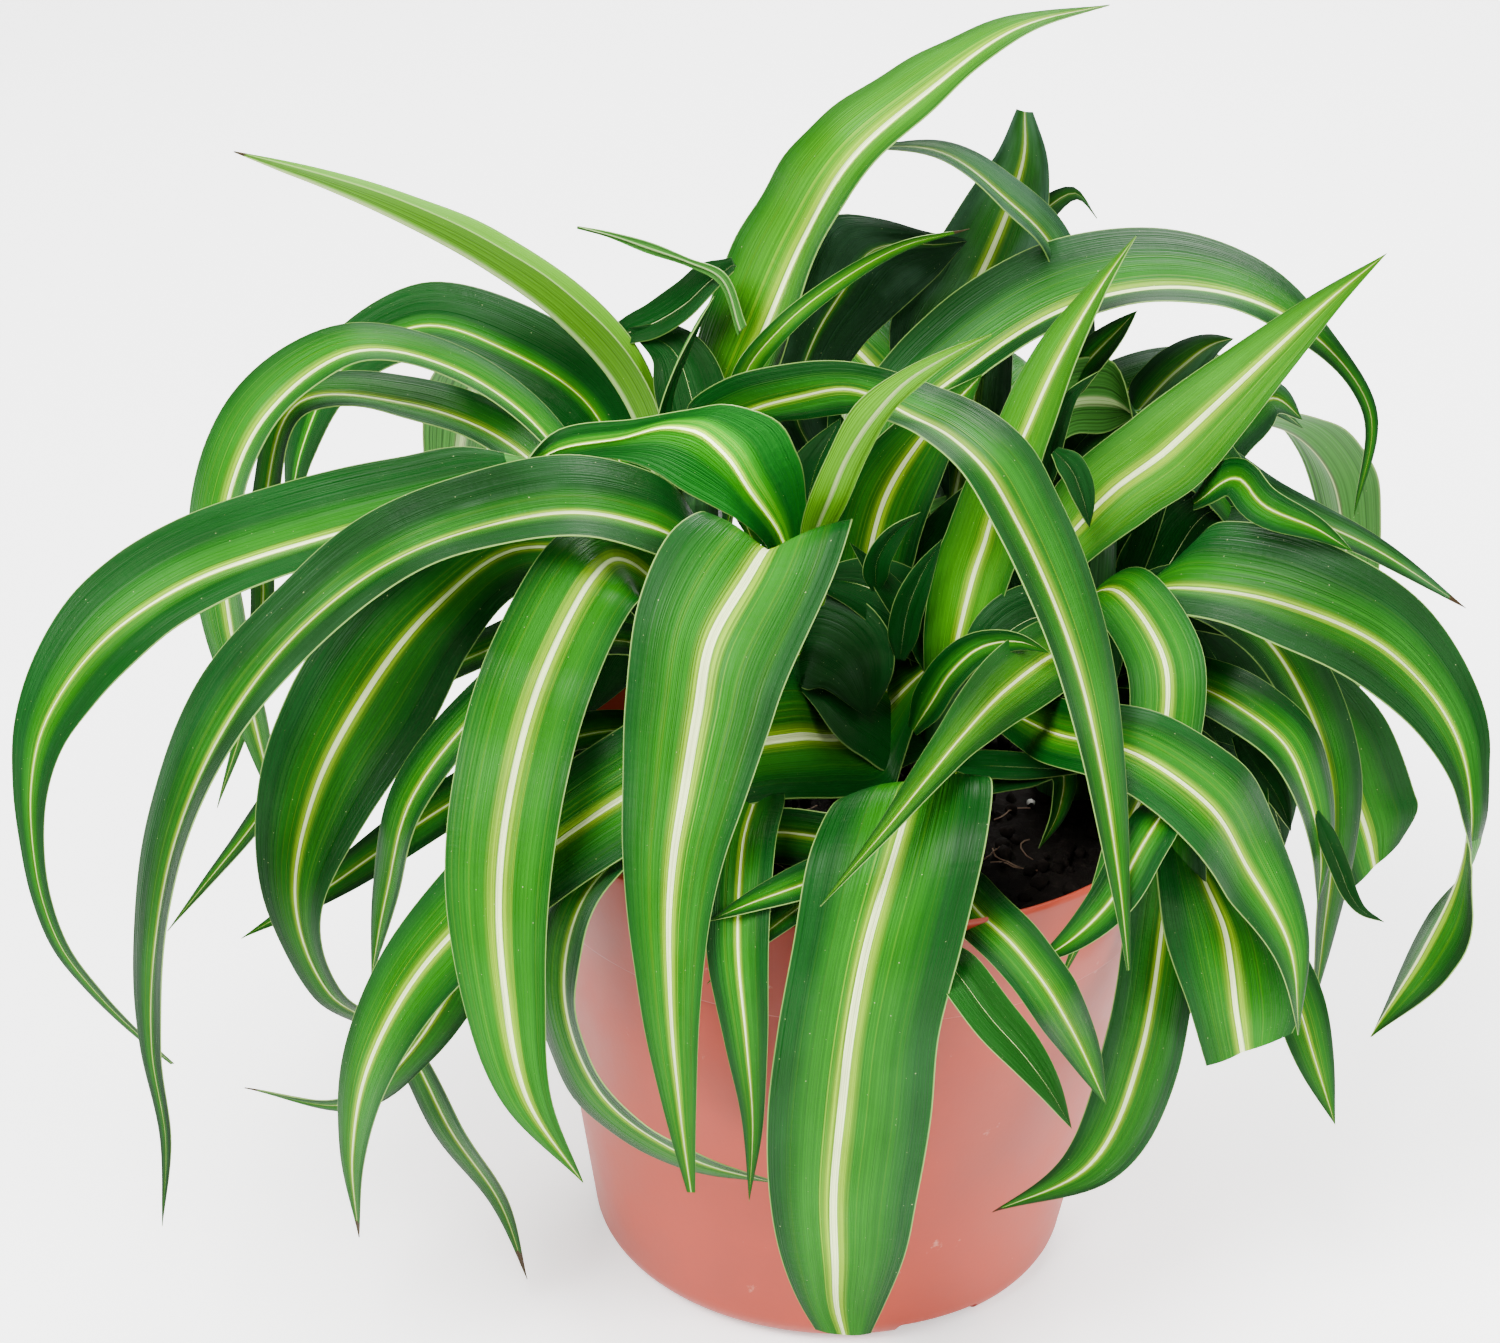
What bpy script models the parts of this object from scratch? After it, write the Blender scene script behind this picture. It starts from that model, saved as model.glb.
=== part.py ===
"""A spider plant in a round nursery pot, modelled at its real size.

The origin is the centre of the pot's underside, +Z is up and +X runs to the right of the
plant seen from its front, which faces -Y. Every size is in millimetres until a mesh is made.

The pot stands on its flat floor, the soil fills it, five short crowns stand on the soil, and
each leaf starts against the side of one crown and arches out from there.
"""

import math
from collections import namedtuple

import bmesh
import bpy
import numpy as np

MM = 0.001
GAP = 0.3  # clearance between neighbouring pieces that touch

# Pot, a turned plastic shell
POT_HEIGHT = 98.0
RIM_RADIUS = 60.0
BAND_HEIGHT = 20.0
BAND_LOWER_RADIUS = 57.9
SHOULDER_RADIUS = 57.0
FOOT_RADIUS = 45.0
FOOT_ROUNDING = 6.0
WALL = 1.4
FLOOR = 1.8
LIP_ROUNDING = 0.6
POT_SIDES = 64

# Drainage notches, cut upwards into the pot's bottom edge
NOTCH_COUNT = 3
NOTCH_FIRST_ANGLE = -62.0
NOTCH_WIDTH = 17.0
NOTCH_HEIGHT = 3.6
NOTCH_DEPTH = 11.0

# Soil
SOIL_TOP = 86.0
SOIL_EDGE_DROP = 2.0
SOIL_SIDES = 48

# Crowns: the stubs of leaf bases that stand on the soil
CROWN_RADIUS = 7.0
CROWN_TOP_RADIUS = 5.0
CROWN_SIDES = 12
CROWNS = {
    # name: (x, y, height above the soil)
    "front_left": (-17, -2, 48),
    "rear_left": (-30, 30, 50),
    "front_right": (18, 4, 40),
    "right": (42, 16, 50),
    "rear_right": (12, 40, 46),
}

# Leaves
LEAF_THICKNESS = 0.8
LEAF_BASE_WIDTH = 0.28  # share of the full width at the crown
LEAF_WIDENING = 30.0  # length over which the leaf widens
LEAF_TAPER = 1.7
RIB_SPACING = 17.0
FEWEST_RIBS = 8

Leaf = namedtuple("Leaf", "name crown height width fold fullest route")

LEAVES = [
    # name, crown, height on it, width, fold in degrees, share of length where it is fullest,
    # and the points that its crease passes: x, y, z and the leaf's roll about it in degrees
    Leaf("left_spear", "rear_left", 44, 19, 52, 0.3, [
        (-41, 24, 152.5, -10), (-47.5, 24, 163, -5), (-55, 23, 171.5, 0), (-65.5, 22, 180, 0),
        (-82.5, 18, 191.5, 5), (-99.5, 16, 200, 5), (-111, 14, 205, 5)]),
    Leaf("left_back_broad", "rear_left", 34, 25, 20, 0.5, [
        (-53.5, 41, 151.5, -25), (-63, 41, 157.5, -20), (-72.5, 43, 160.5, -20), (-83, 46, 161, -20),
        (-92.5, 44, 157, -20), (-99.5, 42, 148.5, -25), (-104, 38, 137, -30), (-106, 34, 122.5, -35)]),
    Leaf("left_high_arch", "rear_left", 26, 22, 30, 0.5, [
        (-59, 14.5, 155.5, -20), (-65.5, 25, 156, -35), (-74.5, 21, 163, -30), (-85.5, 17, 167.5, -20),
        (-96.5, 13, 166, -20), (-104, 9, 159, -25), (-110, 6, 149.5, -30), (-112.5, 3, 138, -35),
        (-112, 1, 123.5, -45), (-108, 0, 102, -55), (-104.5, -1, 83, -55)]),
    Leaf("left_inner_arch", "rear_left", 18, 18, 25, 0.45, [
        (-62, 22.5, 147, -30), (-70, 31, 147, -40), (-79, 28, 151.5, -35), (-88, 25.5, 155, -25),
        (-98.5, 25, 155.5, -20), (-104, 21, 153, -10), (-107, 18, 141.5, -15), (-107.5, 13, 123, -20),
        (-109.5, 10, 105, -20), (-117, 7, 79, -20)]),
    Leaf("top_spear", "rear_left", 48, 26, 25, 0.28, [
        (-24, 34.5, 149, 45), (-18.5, 31.5, 165.5, 25), (-10.5, 34, 186, 20), (-1, 31.5, 204, 15),
        (7, 35, 210.5, 15), (17, 38, 218.5, 10), (26.5, 41, 224.5, 10), (41, 45, 227.5, 15)]),
    Leaf("top_narrow", "rear_left", 40, 8, 30, 0.3, [
        (-21, 20.5, 159, 125), (-21, 18.5, 169.5, 115), (-14, 17.5, 176, 105), (-7, 21.5, 181, 110),
        (1, 26, 185.5, 110), (9, 29, 188, 115), (18, 33, 189, 115)]),
    Leaf("back_left_thin", "rear_left", 30, 6, 30, 0.4, [
        (-27.5, 48, 162, 15), (-32.5, 58, 170.5, 0), (-42, 62, 172.5, -10), (-52, 65, 174, -10),
        (-58.5, 67, 175, -10)]),
    Leaf("left_long", "front_left", 46, 27, 25, 0.4, [
        (-27, -14, 153, -95), (-26, -7, 164, -110), (-37.5, -5.5, 165, -100), (-63, -10, 154, -75),
        (-93, -18, 146, -80), (-114.5, -26, 140.5, -80), (-132.5, -35, 128.5, -90),
        (-139.5, -40, 115.5, -85), (-140, -44, 99, -65), (-134, -48, 78.5, -65),
        (-123.5, -49, 66, -65), (-111.5, -50, 54.5, -70)]),
    Leaf("left_front_long", "front_left", 40, 24, 28, 0.4, [
        (-40, -22.5, 151, -40), (-42.5, -31.5, 158.5, -15), (-61.5, -27.5, 154.5, -15),
        (-77.5, -37, 152, -10), (-93, -46, 142.5, -5), (-105, -54, 127, 0), (-112, -61, 111, 5),
        (-115.5, -67, 92.5, 5), (-116.5, -69, 75, 0), (-115, -69, 60, -5), (-116.5, -69, 38.5, 0)]),
    Leaf("left_broad_dark", "front_left", 22, 30, 20, 0.4, [
        (-46, -9.5, 141.5, -25), (-56.5, -7, 142, -40), (-71.5, -16, 136, -45),
        (-79.5, -20.5, 127.5, -85), (-87, -25, 117.5, -90), (-92.5, -31, 107, -75),
        (-95.5, -37, 96, -35), (-95.5, -41, 85, -15), (-91.5, -41, 72, -20), (-77, -34.5, 55, -30),
        (-69.5, -40, 42.5, -35), (-60.5, -38, 25, -35), (-55.5, -37, 6.5, -30)]),
    Leaf("left_low_thin", "front_left", 15, 9, 25, 0.5, [
        (-38.5, -2, 126, -30), (-67, -5, 119, -30), (-93.5, -9, 103, -35), (-108.5, -13, 84.5, -35),
        (-117.5, -15, 74, -35), (-123, -17, 66.5, -35)]),
    Leaf("left_low_striped", "front_left", 12, 14, 25, 0.45, [
        (-41.5, -10, 108.5, -25), (-55.5, -14, 104, -20), (-71.5, -20, 96.5, -15),
        (-87.5, -25, 86, -20), (-99, -28, 78, -20), (-107.5, -30, 73.5, -20)]),
    Leaf("left_mid_narrow", "front_left", 18, 13, 25, 0.5, [
        (-44.5, -23.5, 132, -10), (-58, -30, 129.5, -5), (-67.5, -36.5, 119.5, -5),
        (-77.5, -42, 104, -20), (-80, -43, 87.5, -35), (-82.5, -45, 75.5, -35)]),
    Leaf("left_low_curl", "front_left", 9, 14, 25, 0.5, [
        (-39, -23.5, 107.5, -90), (-56.5, -33.5, 106.5, -80), (-67.5, -39, 75.5, -90),
        (-76, -45.5, 61.5, -90), (-83, -42, 49.5, -70), (-93, -39, 45, -55), (-107, -36, 46, -50)]),
    Leaf("front_1", "front_left", 31, 23, 15, 0.4, [
        (-37.5, -8.5, 137.5, -65), (-45.5, -32.5, 148, 5), (-53, -36.5, 132.5, -5),
        (-57.5, -53, 118.5, -10), (-59, -62, 102.5, -20), (-57, -68, 84.5, -20),
        (-52.5, -73, 68.5, -25), (-43.5, -75, 55, -25)]),
    Leaf("front_2", "front_left", 36, 31, 15, 0.15, [
        (-15, -35, 144, -75), (-24.5, -33, 142.5, -95), (-28, -46, 132, -80), (-30, -60, 117.5, -65),
        (-30.5, -70, 100.5, -55), (-28.5, -77, 80, -45), (-24.5, -80, 52, -50)]),
    Leaf("right_front_long", "rear_left", 46, 20, 25, 0.45, [
        (-20.5, 2.5, 153.5, 75), (-18.5, 3, 166, 75), (-6.5, -6, 172.5, 30), (9.5, -16, 170.5, 25),
        (20, -30, 167.5, 20), (29, -35, 152, 20), (35, -42, 140, 20), (39.5, -50, 126.5, 15),
        (44, -60, 107.5, 15), (47, -64, 90, 15)]),
    Leaf("centre_upright", "front_left", 44, 18, 50, 0.3, [
        (-5.5, -18, 150, 35), (-3, -23, 162, 35), (0.5, -28, 175, 30), (4.5, -25, 181.5, 35),
        (10, -25, 187.5, 30), (19, -23, 191.5, 30)]),
    Leaf("front_low_curl", "front_left", 3, 15, 20, 0.5, [
        (-34.5, -39, 103, 15), (-42.5, -48, 100, 20), (-47, -52, 90, 15), (-47.5, -54, 77.5, 5),
        (-42.5, -59, 65.5, -5), (-34, -62, 57, -15), (-23.5, -63, 52.5, -25), (-9.5, -63, 48, -25)]),
    Leaf("front_hanging", "front_left", 7, 12, 20, 0.5, [
        (-17, -37, 109, 0), (-19, -57, 108.5, 5), (-19, -66.5, 99.5, 10), (-18, -70, 90.5, 15),
        (-15.5, -71, 69.5, 25), (-15.5, -70, 49, 25)]),
    Leaf("left_low_long", "front_right", 30, 28, 18, 0.3, [
        (1.5, -0.5, 104, -35), (-7, -10.5, 108, -30), (-21, -26, 113, -15), (-31, -38.5, 114.5, -5),
        (-43.5, -41.5, 109.5, -10), (-51, -46, 103, -5), (-69, -51, 87.5, -15),
        (-78.5, -56, 72.5, -15), (-84, -57, 56, -10), (-84.5, -57, 39.5, -20), (-84, -57, 29, -25)]),
    Leaf("front_3", "front_right", 20, 30, 12, 0.65, [
        (12.5, -35, 114.5, -55), (6, -64.5, 113.5, -35), (1.5, -69, 91, -35), (-1.5, -72, 65.5, -40),
        (-1.5, -71, 41, -30), (2, -69, 21, -35)]),
    Leaf("front_striped_point", "right", 22, 17, 20, 0.3, [
        (34, -14, 127.5, -35), (26.5, -24, 126.5, -20), (16.5, -43.5, 125, 10), (6, -66, 122.5, 20),
        (-6, -73, 109.5, 20)]),
    Leaf("centre_spear", "front_right", 36, 15, 22, 0.4, [
        (27, -2, 123.5, 75), (22.5, 1, 136.5, 125), (28.5, 6, 161, 95), (34, 9, 174.5, 85),
        (38.5, 11, 183.5, 85), (45.5, 13, 196, 85)]),
    Leaf("right_low_long", "front_right", 26, 21, 22, 0.45, [
        (29, -6, 111.5, 30), (36.5, -29.5, 119.5, 20), (54.5, -43.5, 120.5, 25),
        (64.5, -38, 104.5, 45), (74, -39, 91, 45), (78.5, -42, 79, 50), (79.5, -44, 70, 50)]),
    Leaf("front_right_low_1", "front_right", 12, 13, 15, 0.5, [
        (17, -24, 91.5, 35), (24, -51, 104, 70), (29.5, -67.5, 100.5, 55), (37.5, -64, 84, 50),
        (45, -61, 65.5, 50)]),
    Leaf("front_low_band", "front_right", 13, 13, 20, 0.5, [
        (3.5, -41.5, 104, -105), (-7, -38, 104, -95), (-21.5, -41, 104.5, -80), (-31, -54, 106, -70)]),
    Leaf("front_low_tip_2", "front_right", 3, 11, 25, 0.4, [
        (1, -35, 92.5, 5), (-10.5, -61, 101, -5), (-24, -68, 91, -5)]),
    Leaf("right_spear", "right", 46, 17, 15, 0.4, [
        (47, 4, 143, 110), (44, 9.5, 146.5, 125), (51.5, 12, 153.5, 130), (68, 15, 170.5, 120),
        (79.5, 18, 182, 110), (90.5, 20, 192, 110)]),
    Leaf("right_long", "right", 40, 31, 30, 0.45, [
        (48.5, 5.5, 125.5, 60), (55, 2.5, 132.5, 70), (66, -3, 134, 55), (78, -7, 134.5, 60),
        (92.5, -11, 129.5, 70), (102.5, -15, 121, 60), (109, -19, 106, 35), (109, -22, 93, 20),
        (103, -25, 76, 10), (95.5, -27, 59.5, 15)]),
    Leaf("right_dark_arc", "right", 48, 16, 20, 0.45, [
        (40, 26, 154.5, 30), (41.5, 26, 162, 20), (52, 30, 154, 50), (65, 27.5, 145, 55),
        (71, 26, 136.5, 60), (76.5, 23, 124.5, 65)]),
    Leaf("right_mid", "right", 24, 17, 25, 0.5, [
        (53.5, 4, 116, 50), (62.5, -2, 116, 30), (69.5, -9, 115, 10), (76, -12.5, 111, 5),
        (80.5, -14.5, 103, 5), (84, -17, 92.5, 10), (84.5, -20, 82.5, 15)]),
    Leaf("right_broad_back", "right", 30, 22, 20, 0.65, [
        (60.5, 19.5, 121.5, 55), (75, 17, 115, 45), (87, 13, 103, 50), (95, 9, 88.5, 70),
        (99, 6, 77.5, 70)]),
    Leaf("right_dark_drop", "right", 34, 16, 25, 0.5, [
        (55, 10, 128, 35), (69, 6.5, 126.5, 30), (75, 6, 120.5, 35), (80.5, 3.5, 113.5, 35),
        (84.5, -2, 106.5, 25), (87, -8.5, 95, 20), (87, -13, 78.5, 20), (86.5, -17, 59, 20)]),
    Leaf("right_low_broad", "right", 16, 23, 15, 0.75, [
        (58, -0.5, 99, 35), (64.5, -29, 103.5, -20), (66.5, -32, 91.5, -10), (73, -38, 78.5, 5),
        (66, -40, 58.5, 15)]),
    Leaf("right_low_tip", "right", 11, 12, 20, 0.6, [
        (69.5, -1, 100, 20), (71.5, -23, 86, 0), (80, -28, 70.5, 10), (84, -31, 60, 20),
        (90, -33, 44.5, 20)]),
    Leaf("right_low_dark", "right", 8, 16, 12, 0.5, [
        (53.5, -40.5, 113.5, -10), (55, -38, 97, 5), (54, -47, 77, 20), (49, -53, 61.5, 25),
        (43, -57, 49.5, 35), (35.5, -58, 40.5, 45), (27, -57, 39.5, 45)]),
    Leaf("right_front_mid", "right", 30, 17, 15, 0.35, [
        (43, -6, 138.5, 20), (49.5, -14, 135, 25), (53.5, -24, 128.5, 20), (51.5, -33, 116, 15),
        (45.5, -47, 111.5, -10), (41, -54, 102, -20), (35, -57, 85, -20)]),
    Leaf("right_high_long", "rear_right", 45, 30, 28, 0.42, [
        (8.5, 16, 142, 65), (8, 25, 152.5, 80), (18, 28, 161.5, 80), (33.5, 30.5, 173, 75),
        (51, 32, 178, 75), (67, 30, 178.5, 75), (76, 28, 175.5, 65), (84, 25, 170, 60),
        (91, 22, 161, 65), (91, 19, 149.5, 75), (89.5, 17, 142, 75)]),
    Leaf("back_left_pointed", "rear_right", 36, 11, 28, 0.4, [
        (38.5, 44.5, 169.5, 135), (35.5, 46, 178, 135), (30, 43, 185, 140), (23.5, 40, 192.5, 140),
        (16.5, 38, 199, 140), (9, 36, 202.5, 150), (-4.5, 35.5, 202.5, 155)]),
    Leaf("back_broad_left", "rear_right", 30, 26, 18, 0.5, [
        (-9.5, 34.5, 140.5, 20), (-5.5, 52, 157, 25), (1, 58, 165.5, 10), (9.5, 59.5, 173.5, 0),
        (18, 66, 178.5, 0)]),
    Leaf("back_peak", "rear_right", 44, 21, 18, 0.5, [
        (16.5, 50.5, 163, 0), (20.5, 58.5, 176, 15), (25.5, 64, 188, 45), (31, 68, 195, 85),
        (39.5, 72, 182.5, 130)]),
    Leaf("back_right_end", "rear_right", 20, 17, 20, 0.65, [
        (48.5, 52, 149, 25), (64, 52, 154, 25), (76, 51.5, 151, 30), (84.5, 52.5, 144.5, 35)]),
    Leaf("right_back_dark", "rear_right", 12, 13, 25, 0.45, [
        (57.5, 29.5, 153.5, 40), (71.5, 35.5, 137.5, 50), (82, 31.5, 137.5, 50), (91, 28, 133.5, 50),
        (100.5, 25, 130, 55), (113, 21, 123, 55)]),
    Leaf("back_1", "rear_left", 22, 24, 22, 0.45, [
        (-44, 63, 132, 0), (-60, 77, 143, 5), (-74, 98, 132, 5), (-82, 114, 100, 10),
        (-86, 120, 66, 10)]),
    Leaf("back_2", "rear_left", 14, 22, 22, 0.45, [
        (-32, 59, 123, 0), (-34, 82, 134, -5), (-36, 104, 122, -5), (-36, 118, 92, -5),
        (-34, 122, 56, 0)]),
    Leaf("back_3", "rear_right", 34, 25, 22, 0.45, [
        (12, 75, 133, 0), (-2, 84, 146, 0), (0, 106, 132, -5), (-4, 120, 100, -5), (-8, 124, 64, -5)]),
    Leaf("back_4", "rear_right", 26, 24, 22, 0.45, [
        (24, 70, 128, 0), (34, 86, 138, 5), (42, 108, 124, 5), (48, 120, 94, 5), (50, 124, 58, 5)]),
    Leaf("back_5", "right", 26, 24, 22, 0.45, [
        (54, 35, 133, 0), (72, 60, 142, 0), (90, 74, 132, 0), (102, 86, 102, 0), (108, 90, 70, 0)]),
    Leaf("back_6", "rear_right", 8, 16, 22, 0.45, [
        (14, 62, 110, 0), (16, 84, 114, 0), (16, 98, 98, 0), (16, 104, 70, 0)]),
]


def clear_scene():
    """Remove whatever the file holds."""
    for thing in list(bpy.data.objects):
        bpy.data.objects.remove(thing, do_unlink=True)


def principled(name, colour, roughness):
    """A plain material of one colour."""
    material = bpy.data.materials.new(name)
    material.use_nodes = True
    shader = material.node_tree.nodes["Principled BSDF"]
    shader.inputs["Base Color"].default_value = (*colour, 1.0)
    shader.inputs["Roughness"].default_value = roughness
    shader.inputs["Metallic"].default_value = 0.0
    return material


def object_from_bmesh(name, bm, material):
    """Turn a bmesh in millimetres into a named object in metres, shaded smooth."""
    bmesh.ops.scale(bm, vec=(MM, MM, MM), verts=bm.verts)
    mesh = bpy.data.meshes.new(name)
    bm.to_mesh(mesh)
    bm.free()
    mesh.materials.append(material)
    mesh.shade_smooth()
    mesh.set_sharp_from_angle(angle=math.radians(35))
    thing = bpy.data.objects.new(name, mesh)
    bpy.context.scene.collection.objects.link(thing)
    return thing


def turned(name, profile, sides, material, centre=(0.0, 0.0)):
    """Turn a profile of (radius, height) points, which starts and ends on the axis, about Z."""
    bm = bmesh.new()
    points = [bm.verts.new((radius, 0.0, height)) for radius, height in profile]
    edges = [bm.edges.new(pair) for pair in zip(points, points[1:])]
    bmesh.ops.spin(bm, geom=points + edges, cent=(0, 0, 0), axis=(0, 0, 1),
                   angle=math.tau, steps=sides, use_duplicate=False)
    bmesh.ops.remove_doubles(bm, verts=bm.verts, dist=0.001)
    bmesh.ops.recalc_face_normals(bm, faces=bm.faces)
    bmesh.ops.translate(bm, vec=(*centre, 0.0), verts=bm.verts)
    return object_from_bmesh(name, bm, material)


def arc(centre, radius, start, end, steps):
    """Points of a circular arc in the (radius, height) plane, angles in degrees."""
    angles = np.radians(np.linspace(start, end, steps + 1))
    return [(centre[0] + radius * math.cos(a), centre[1] + radius * math.sin(a)) for a in angles]


def band_radius(height):
    """Outer radius of the rim band, which flares a little towards the lip."""
    share = (height - (POT_HEIGHT - BAND_HEIGHT)) / BAND_HEIGHT
    return BAND_LOWER_RADIUS + (RIM_RADIUS - BAND_LOWER_RADIUS) * share


def make_pot(material):
    """The pot: rounded foot, sloping wall, stepped rim band and thin lip, open at the top."""
    shoulder = POT_HEIGHT - BAND_HEIGHT
    inner_corner = FOOT_RADIUS - FOOT_ROUNDING
    profile = [(0.0, 0.0)]
    profile += arc((inner_corner, FOOT_ROUNDING), FOOT_ROUNDING, -90, 0, 5)
    profile += [(SHOULDER_RADIUS, shoulder - 0.6), (BAND_LOWER_RADIUS, shoulder)]
    profile += arc((RIM_RADIUS - LIP_ROUNDING, POT_HEIGHT - LIP_ROUNDING), LIP_ROUNDING, 0, 90, 2)
    profile += [(RIM_RADIUS - WALL, POT_HEIGHT), (BAND_LOWER_RADIUS - WALL, shoulder)]
    profile += [(SHOULDER_RADIUS - WALL, shoulder - 3.0), (FOOT_RADIUS - WALL, FOOT_ROUNDING + 1.0)]
    profile += [(inner_corner, FLOOR), (0.0, FLOOR)]
    pot = turned("pot", profile, POT_SIDES, material)
    for index in range(NOTCH_COUNT):
        cut_notch(pot, NOTCH_FIRST_ANGLE + index * 360.0 / NOTCH_COUNT, index)


def cut_notch(pot, angle, index):
    """Cut one drainage notch through the pot's bottom edge, facing the given direction."""
    bm = bmesh.new()
    bmesh.ops.create_cube(bm, size=1.0)
    size = (NOTCH_DEPTH, NOTCH_WIDTH, 2 * NOTCH_HEIGHT)
    bmesh.ops.scale(bm, vec=size, verts=bm.verts)
    bmesh.ops.scale(bm, vec=(MM, MM, MM), verts=bm.verts)
    mesh = bpy.data.meshes.new("notch_cutter")
    bm.to_mesh(mesh)
    bm.free()
    cutter = bpy.data.objects.new(f"notch_cutter_{index + 1}", mesh)
    reach = (FOOT_RADIUS + 1.0 - NOTCH_DEPTH / 2) * MM
    turn = math.radians(angle)
    cutter.location = (reach * math.cos(turn), reach * math.sin(turn), 0.0)
    cutter.rotation_euler = (0.0, 0.0, turn)
    cutter.hide_render = True
    cutter.display_type = "WIRE"
    bpy.context.scene.collection.objects.link(cutter)
    cut = pot.modifiers.new(f"notch_{index + 1}", "BOOLEAN")
    cut.operation = "DIFFERENCE"
    cut.solver = "EXACT"
    cut.object = cutter


def make_soil(material):
    """The soil: fills the pot from its floor to a little below the rim."""
    inner_corner = FOOT_RADIUS - FOOT_ROUNDING
    shoulder = POT_HEIGHT - BAND_HEIGHT
    edge = SOIL_TOP - SOIL_EDGE_DROP
    inset = WALL + 2 * GAP
    profile = [(0.0, FLOOR + GAP), (inner_corner - 1.0, FLOOR + GAP)]
    profile += [(FOOT_RADIUS - inset - 0.6, FOOT_ROUNDING + 2.0)]
    profile += [(SHOULDER_RADIUS - inset, shoulder - 4.0), (band_radius(edge) - inset - 0.4, edge)]
    profile += [(band_radius(edge) - inset - 4.0, SOIL_TOP), (0.0, SOIL_TOP)]
    return turned("soil", profile, SOIL_SIDES, material)


def crown_radius(height, crown_height):
    """Radius of a crown at a height above the soil."""
    share = min(max(height / crown_height, 0.0), 1.0)
    return CROWN_RADIUS + (CROWN_TOP_RADIUS - CROWN_RADIUS) * share


def make_crown(name, material):
    """One crown: a tapering stub with a domed top, standing on the soil."""
    x, y, height = CROWNS[name]
    foot = SOIL_TOP + GAP
    top = foot + height
    profile = [(0.0, foot), (CROWN_RADIUS, foot), (crown_radius(height, height), top)]
    profile += arc((0.0, top), CROWN_TOP_RADIUS, 0, 90, 3)[1:-1]
    profile += [(0.0, top + CROWN_TOP_RADIUS)]
    return turned(f"crown_{name}", profile, CROWN_SIDES, material, centre=(x, y))


def unit(vectors):
    """Vectors scaled to length one."""
    vectors = np.asarray(vectors, float)
    return vectors / np.linalg.norm(vectors, axis=-1, keepdims=True)


def smooth_path(points, count):
    """A smooth curve through the points, as evenly spaced stations of the same columns."""
    points = np.asarray(points, float)
    gaps = np.linalg.norm(np.diff(points[:, :3], axis=0), axis=1)
    knots = np.concatenate([[0.0], np.cumsum(gaps)])
    slopes = np.gradient(points, knots, axis=0)
    dense = []
    for i, gap in enumerate(gaps):
        t = np.linspace(0.0, 1.0, 24, endpoint=False)[:, None]
        rise = points[i + 1] - points[i]
        start, end = slopes[i] * gap, slopes[i + 1] * gap
        dense.append(points[i] + start * t + (3 * rise - 2 * start - end) * t**2
                     + (start + end - 2 * rise) * t**3)
    dense = np.vstack(dense + [points[-1:]])
    steps = np.linalg.norm(np.diff(dense[:, :3], axis=0), axis=1)
    along = np.concatenate([[0.0], np.cumsum(steps)])
    wanted = np.linspace(0.0, along[-1], count)
    return np.column_stack([np.interp(wanted, along, column) for column in dense.T])


def carried_sides(centres, first_side):
    """Unit vectors to the leaf's right, carried along the curve without twisting."""
    tangents = unit(np.gradient(centres, axis=0))
    sides = []
    side = np.asarray(first_side, float)
    for tangent in tangents:
        side = unit(side - tangent * np.dot(side, tangent))
        sides.append(side)
    return tangents, np.array(sides)


def leaf_start(leaf):
    """Where the leaf touches its crown, on the side that faces the way it grows."""
    x, y, crown_height = CROWNS[leaf.crown]
    towards = unit(np.mean([point[:2] for point in leaf.route], axis=0) - (x, y))
    reach = crown_radius(leaf.height, crown_height) + GAP + LEAF_THICKNESS / 2
    return (x + towards[0] * reach, y + towards[1] * reach, SOIL_TOP + leaf.height), towards


def leaf_frames(leaf):
    """Stations along a leaf: share of length, centre, right-hand side and upper normal."""
    start, towards = leaf_start(leaf)
    points = [(*start, 0.0)] + [tuple(point) for point in leaf.route]
    length = np.linalg.norm(np.diff(np.array(points)[:, :3], axis=0), axis=1).sum()
    count = max(FEWEST_RIBS, round(length / RIB_SPACING))
    path = smooth_path(points, count)
    centres, rolls = path[:, :3], np.radians(path[:, 3:])
    tangents, sides = carried_sides(centres, (towards[1], -towards[0], 0.0))
    normals = np.cross(sides, tangents)
    rolled = sides * np.cos(rolls) - normals * np.sin(rolls)
    return np.linspace(0.0, 1.0, count), centres, rolled, np.cross(rolled, tangents)


def fold_share(share):
    """Share of a leaf's fold at a share of its length: it opens flatter past the arch."""
    return min(1.0, 0.2 + share * 4.0) * (1.0 - 0.6 * max(share - 0.35, 0.0) / 0.65)


def leaf_width_share(share, fullest, length):
    """Share of the full width at a share of the length: narrow base, full middle, long taper."""
    rise = min(share * length / LEAF_WIDENING, 1.0)
    widening = LEAF_BASE_WIDTH + (1.0 - LEAF_BASE_WIDTH) * rise * rise * (3.0 - 2.0 * rise)
    past = max(share - fullest, 0.0) / (1.0 - fullest)
    return widening * (1.0 - past**LEAF_TAPER)


def leaf_ribs(leaf):
    """Ribs of four corners each (left edge, upper crease, right edge, lower crease), and the tip."""
    shares, centres, sides, normals = leaf_frames(leaf)
    length = np.linalg.norm(np.diff(centres, axis=0), axis=1).sum()
    ribs = []
    for share, centre, side, normal in zip(shares[:-1], centres, sides, normals):
        half = leaf.width / 2 * leaf_width_share(share, leaf.fullest, length)
        fold = math.radians(leaf.fold) * fold_share(share)
        out, lift = half * math.cos(fold), half * math.sin(fold)
        ribs.append([
            centre - side * out + normal * lift,
            centre + normal * LEAF_THICKNESS / 2,
            centre + side * out + normal * lift,
            centre - normal * LEAF_THICKNESS / 2,
        ])
    return ribs, centres[-1]


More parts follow.
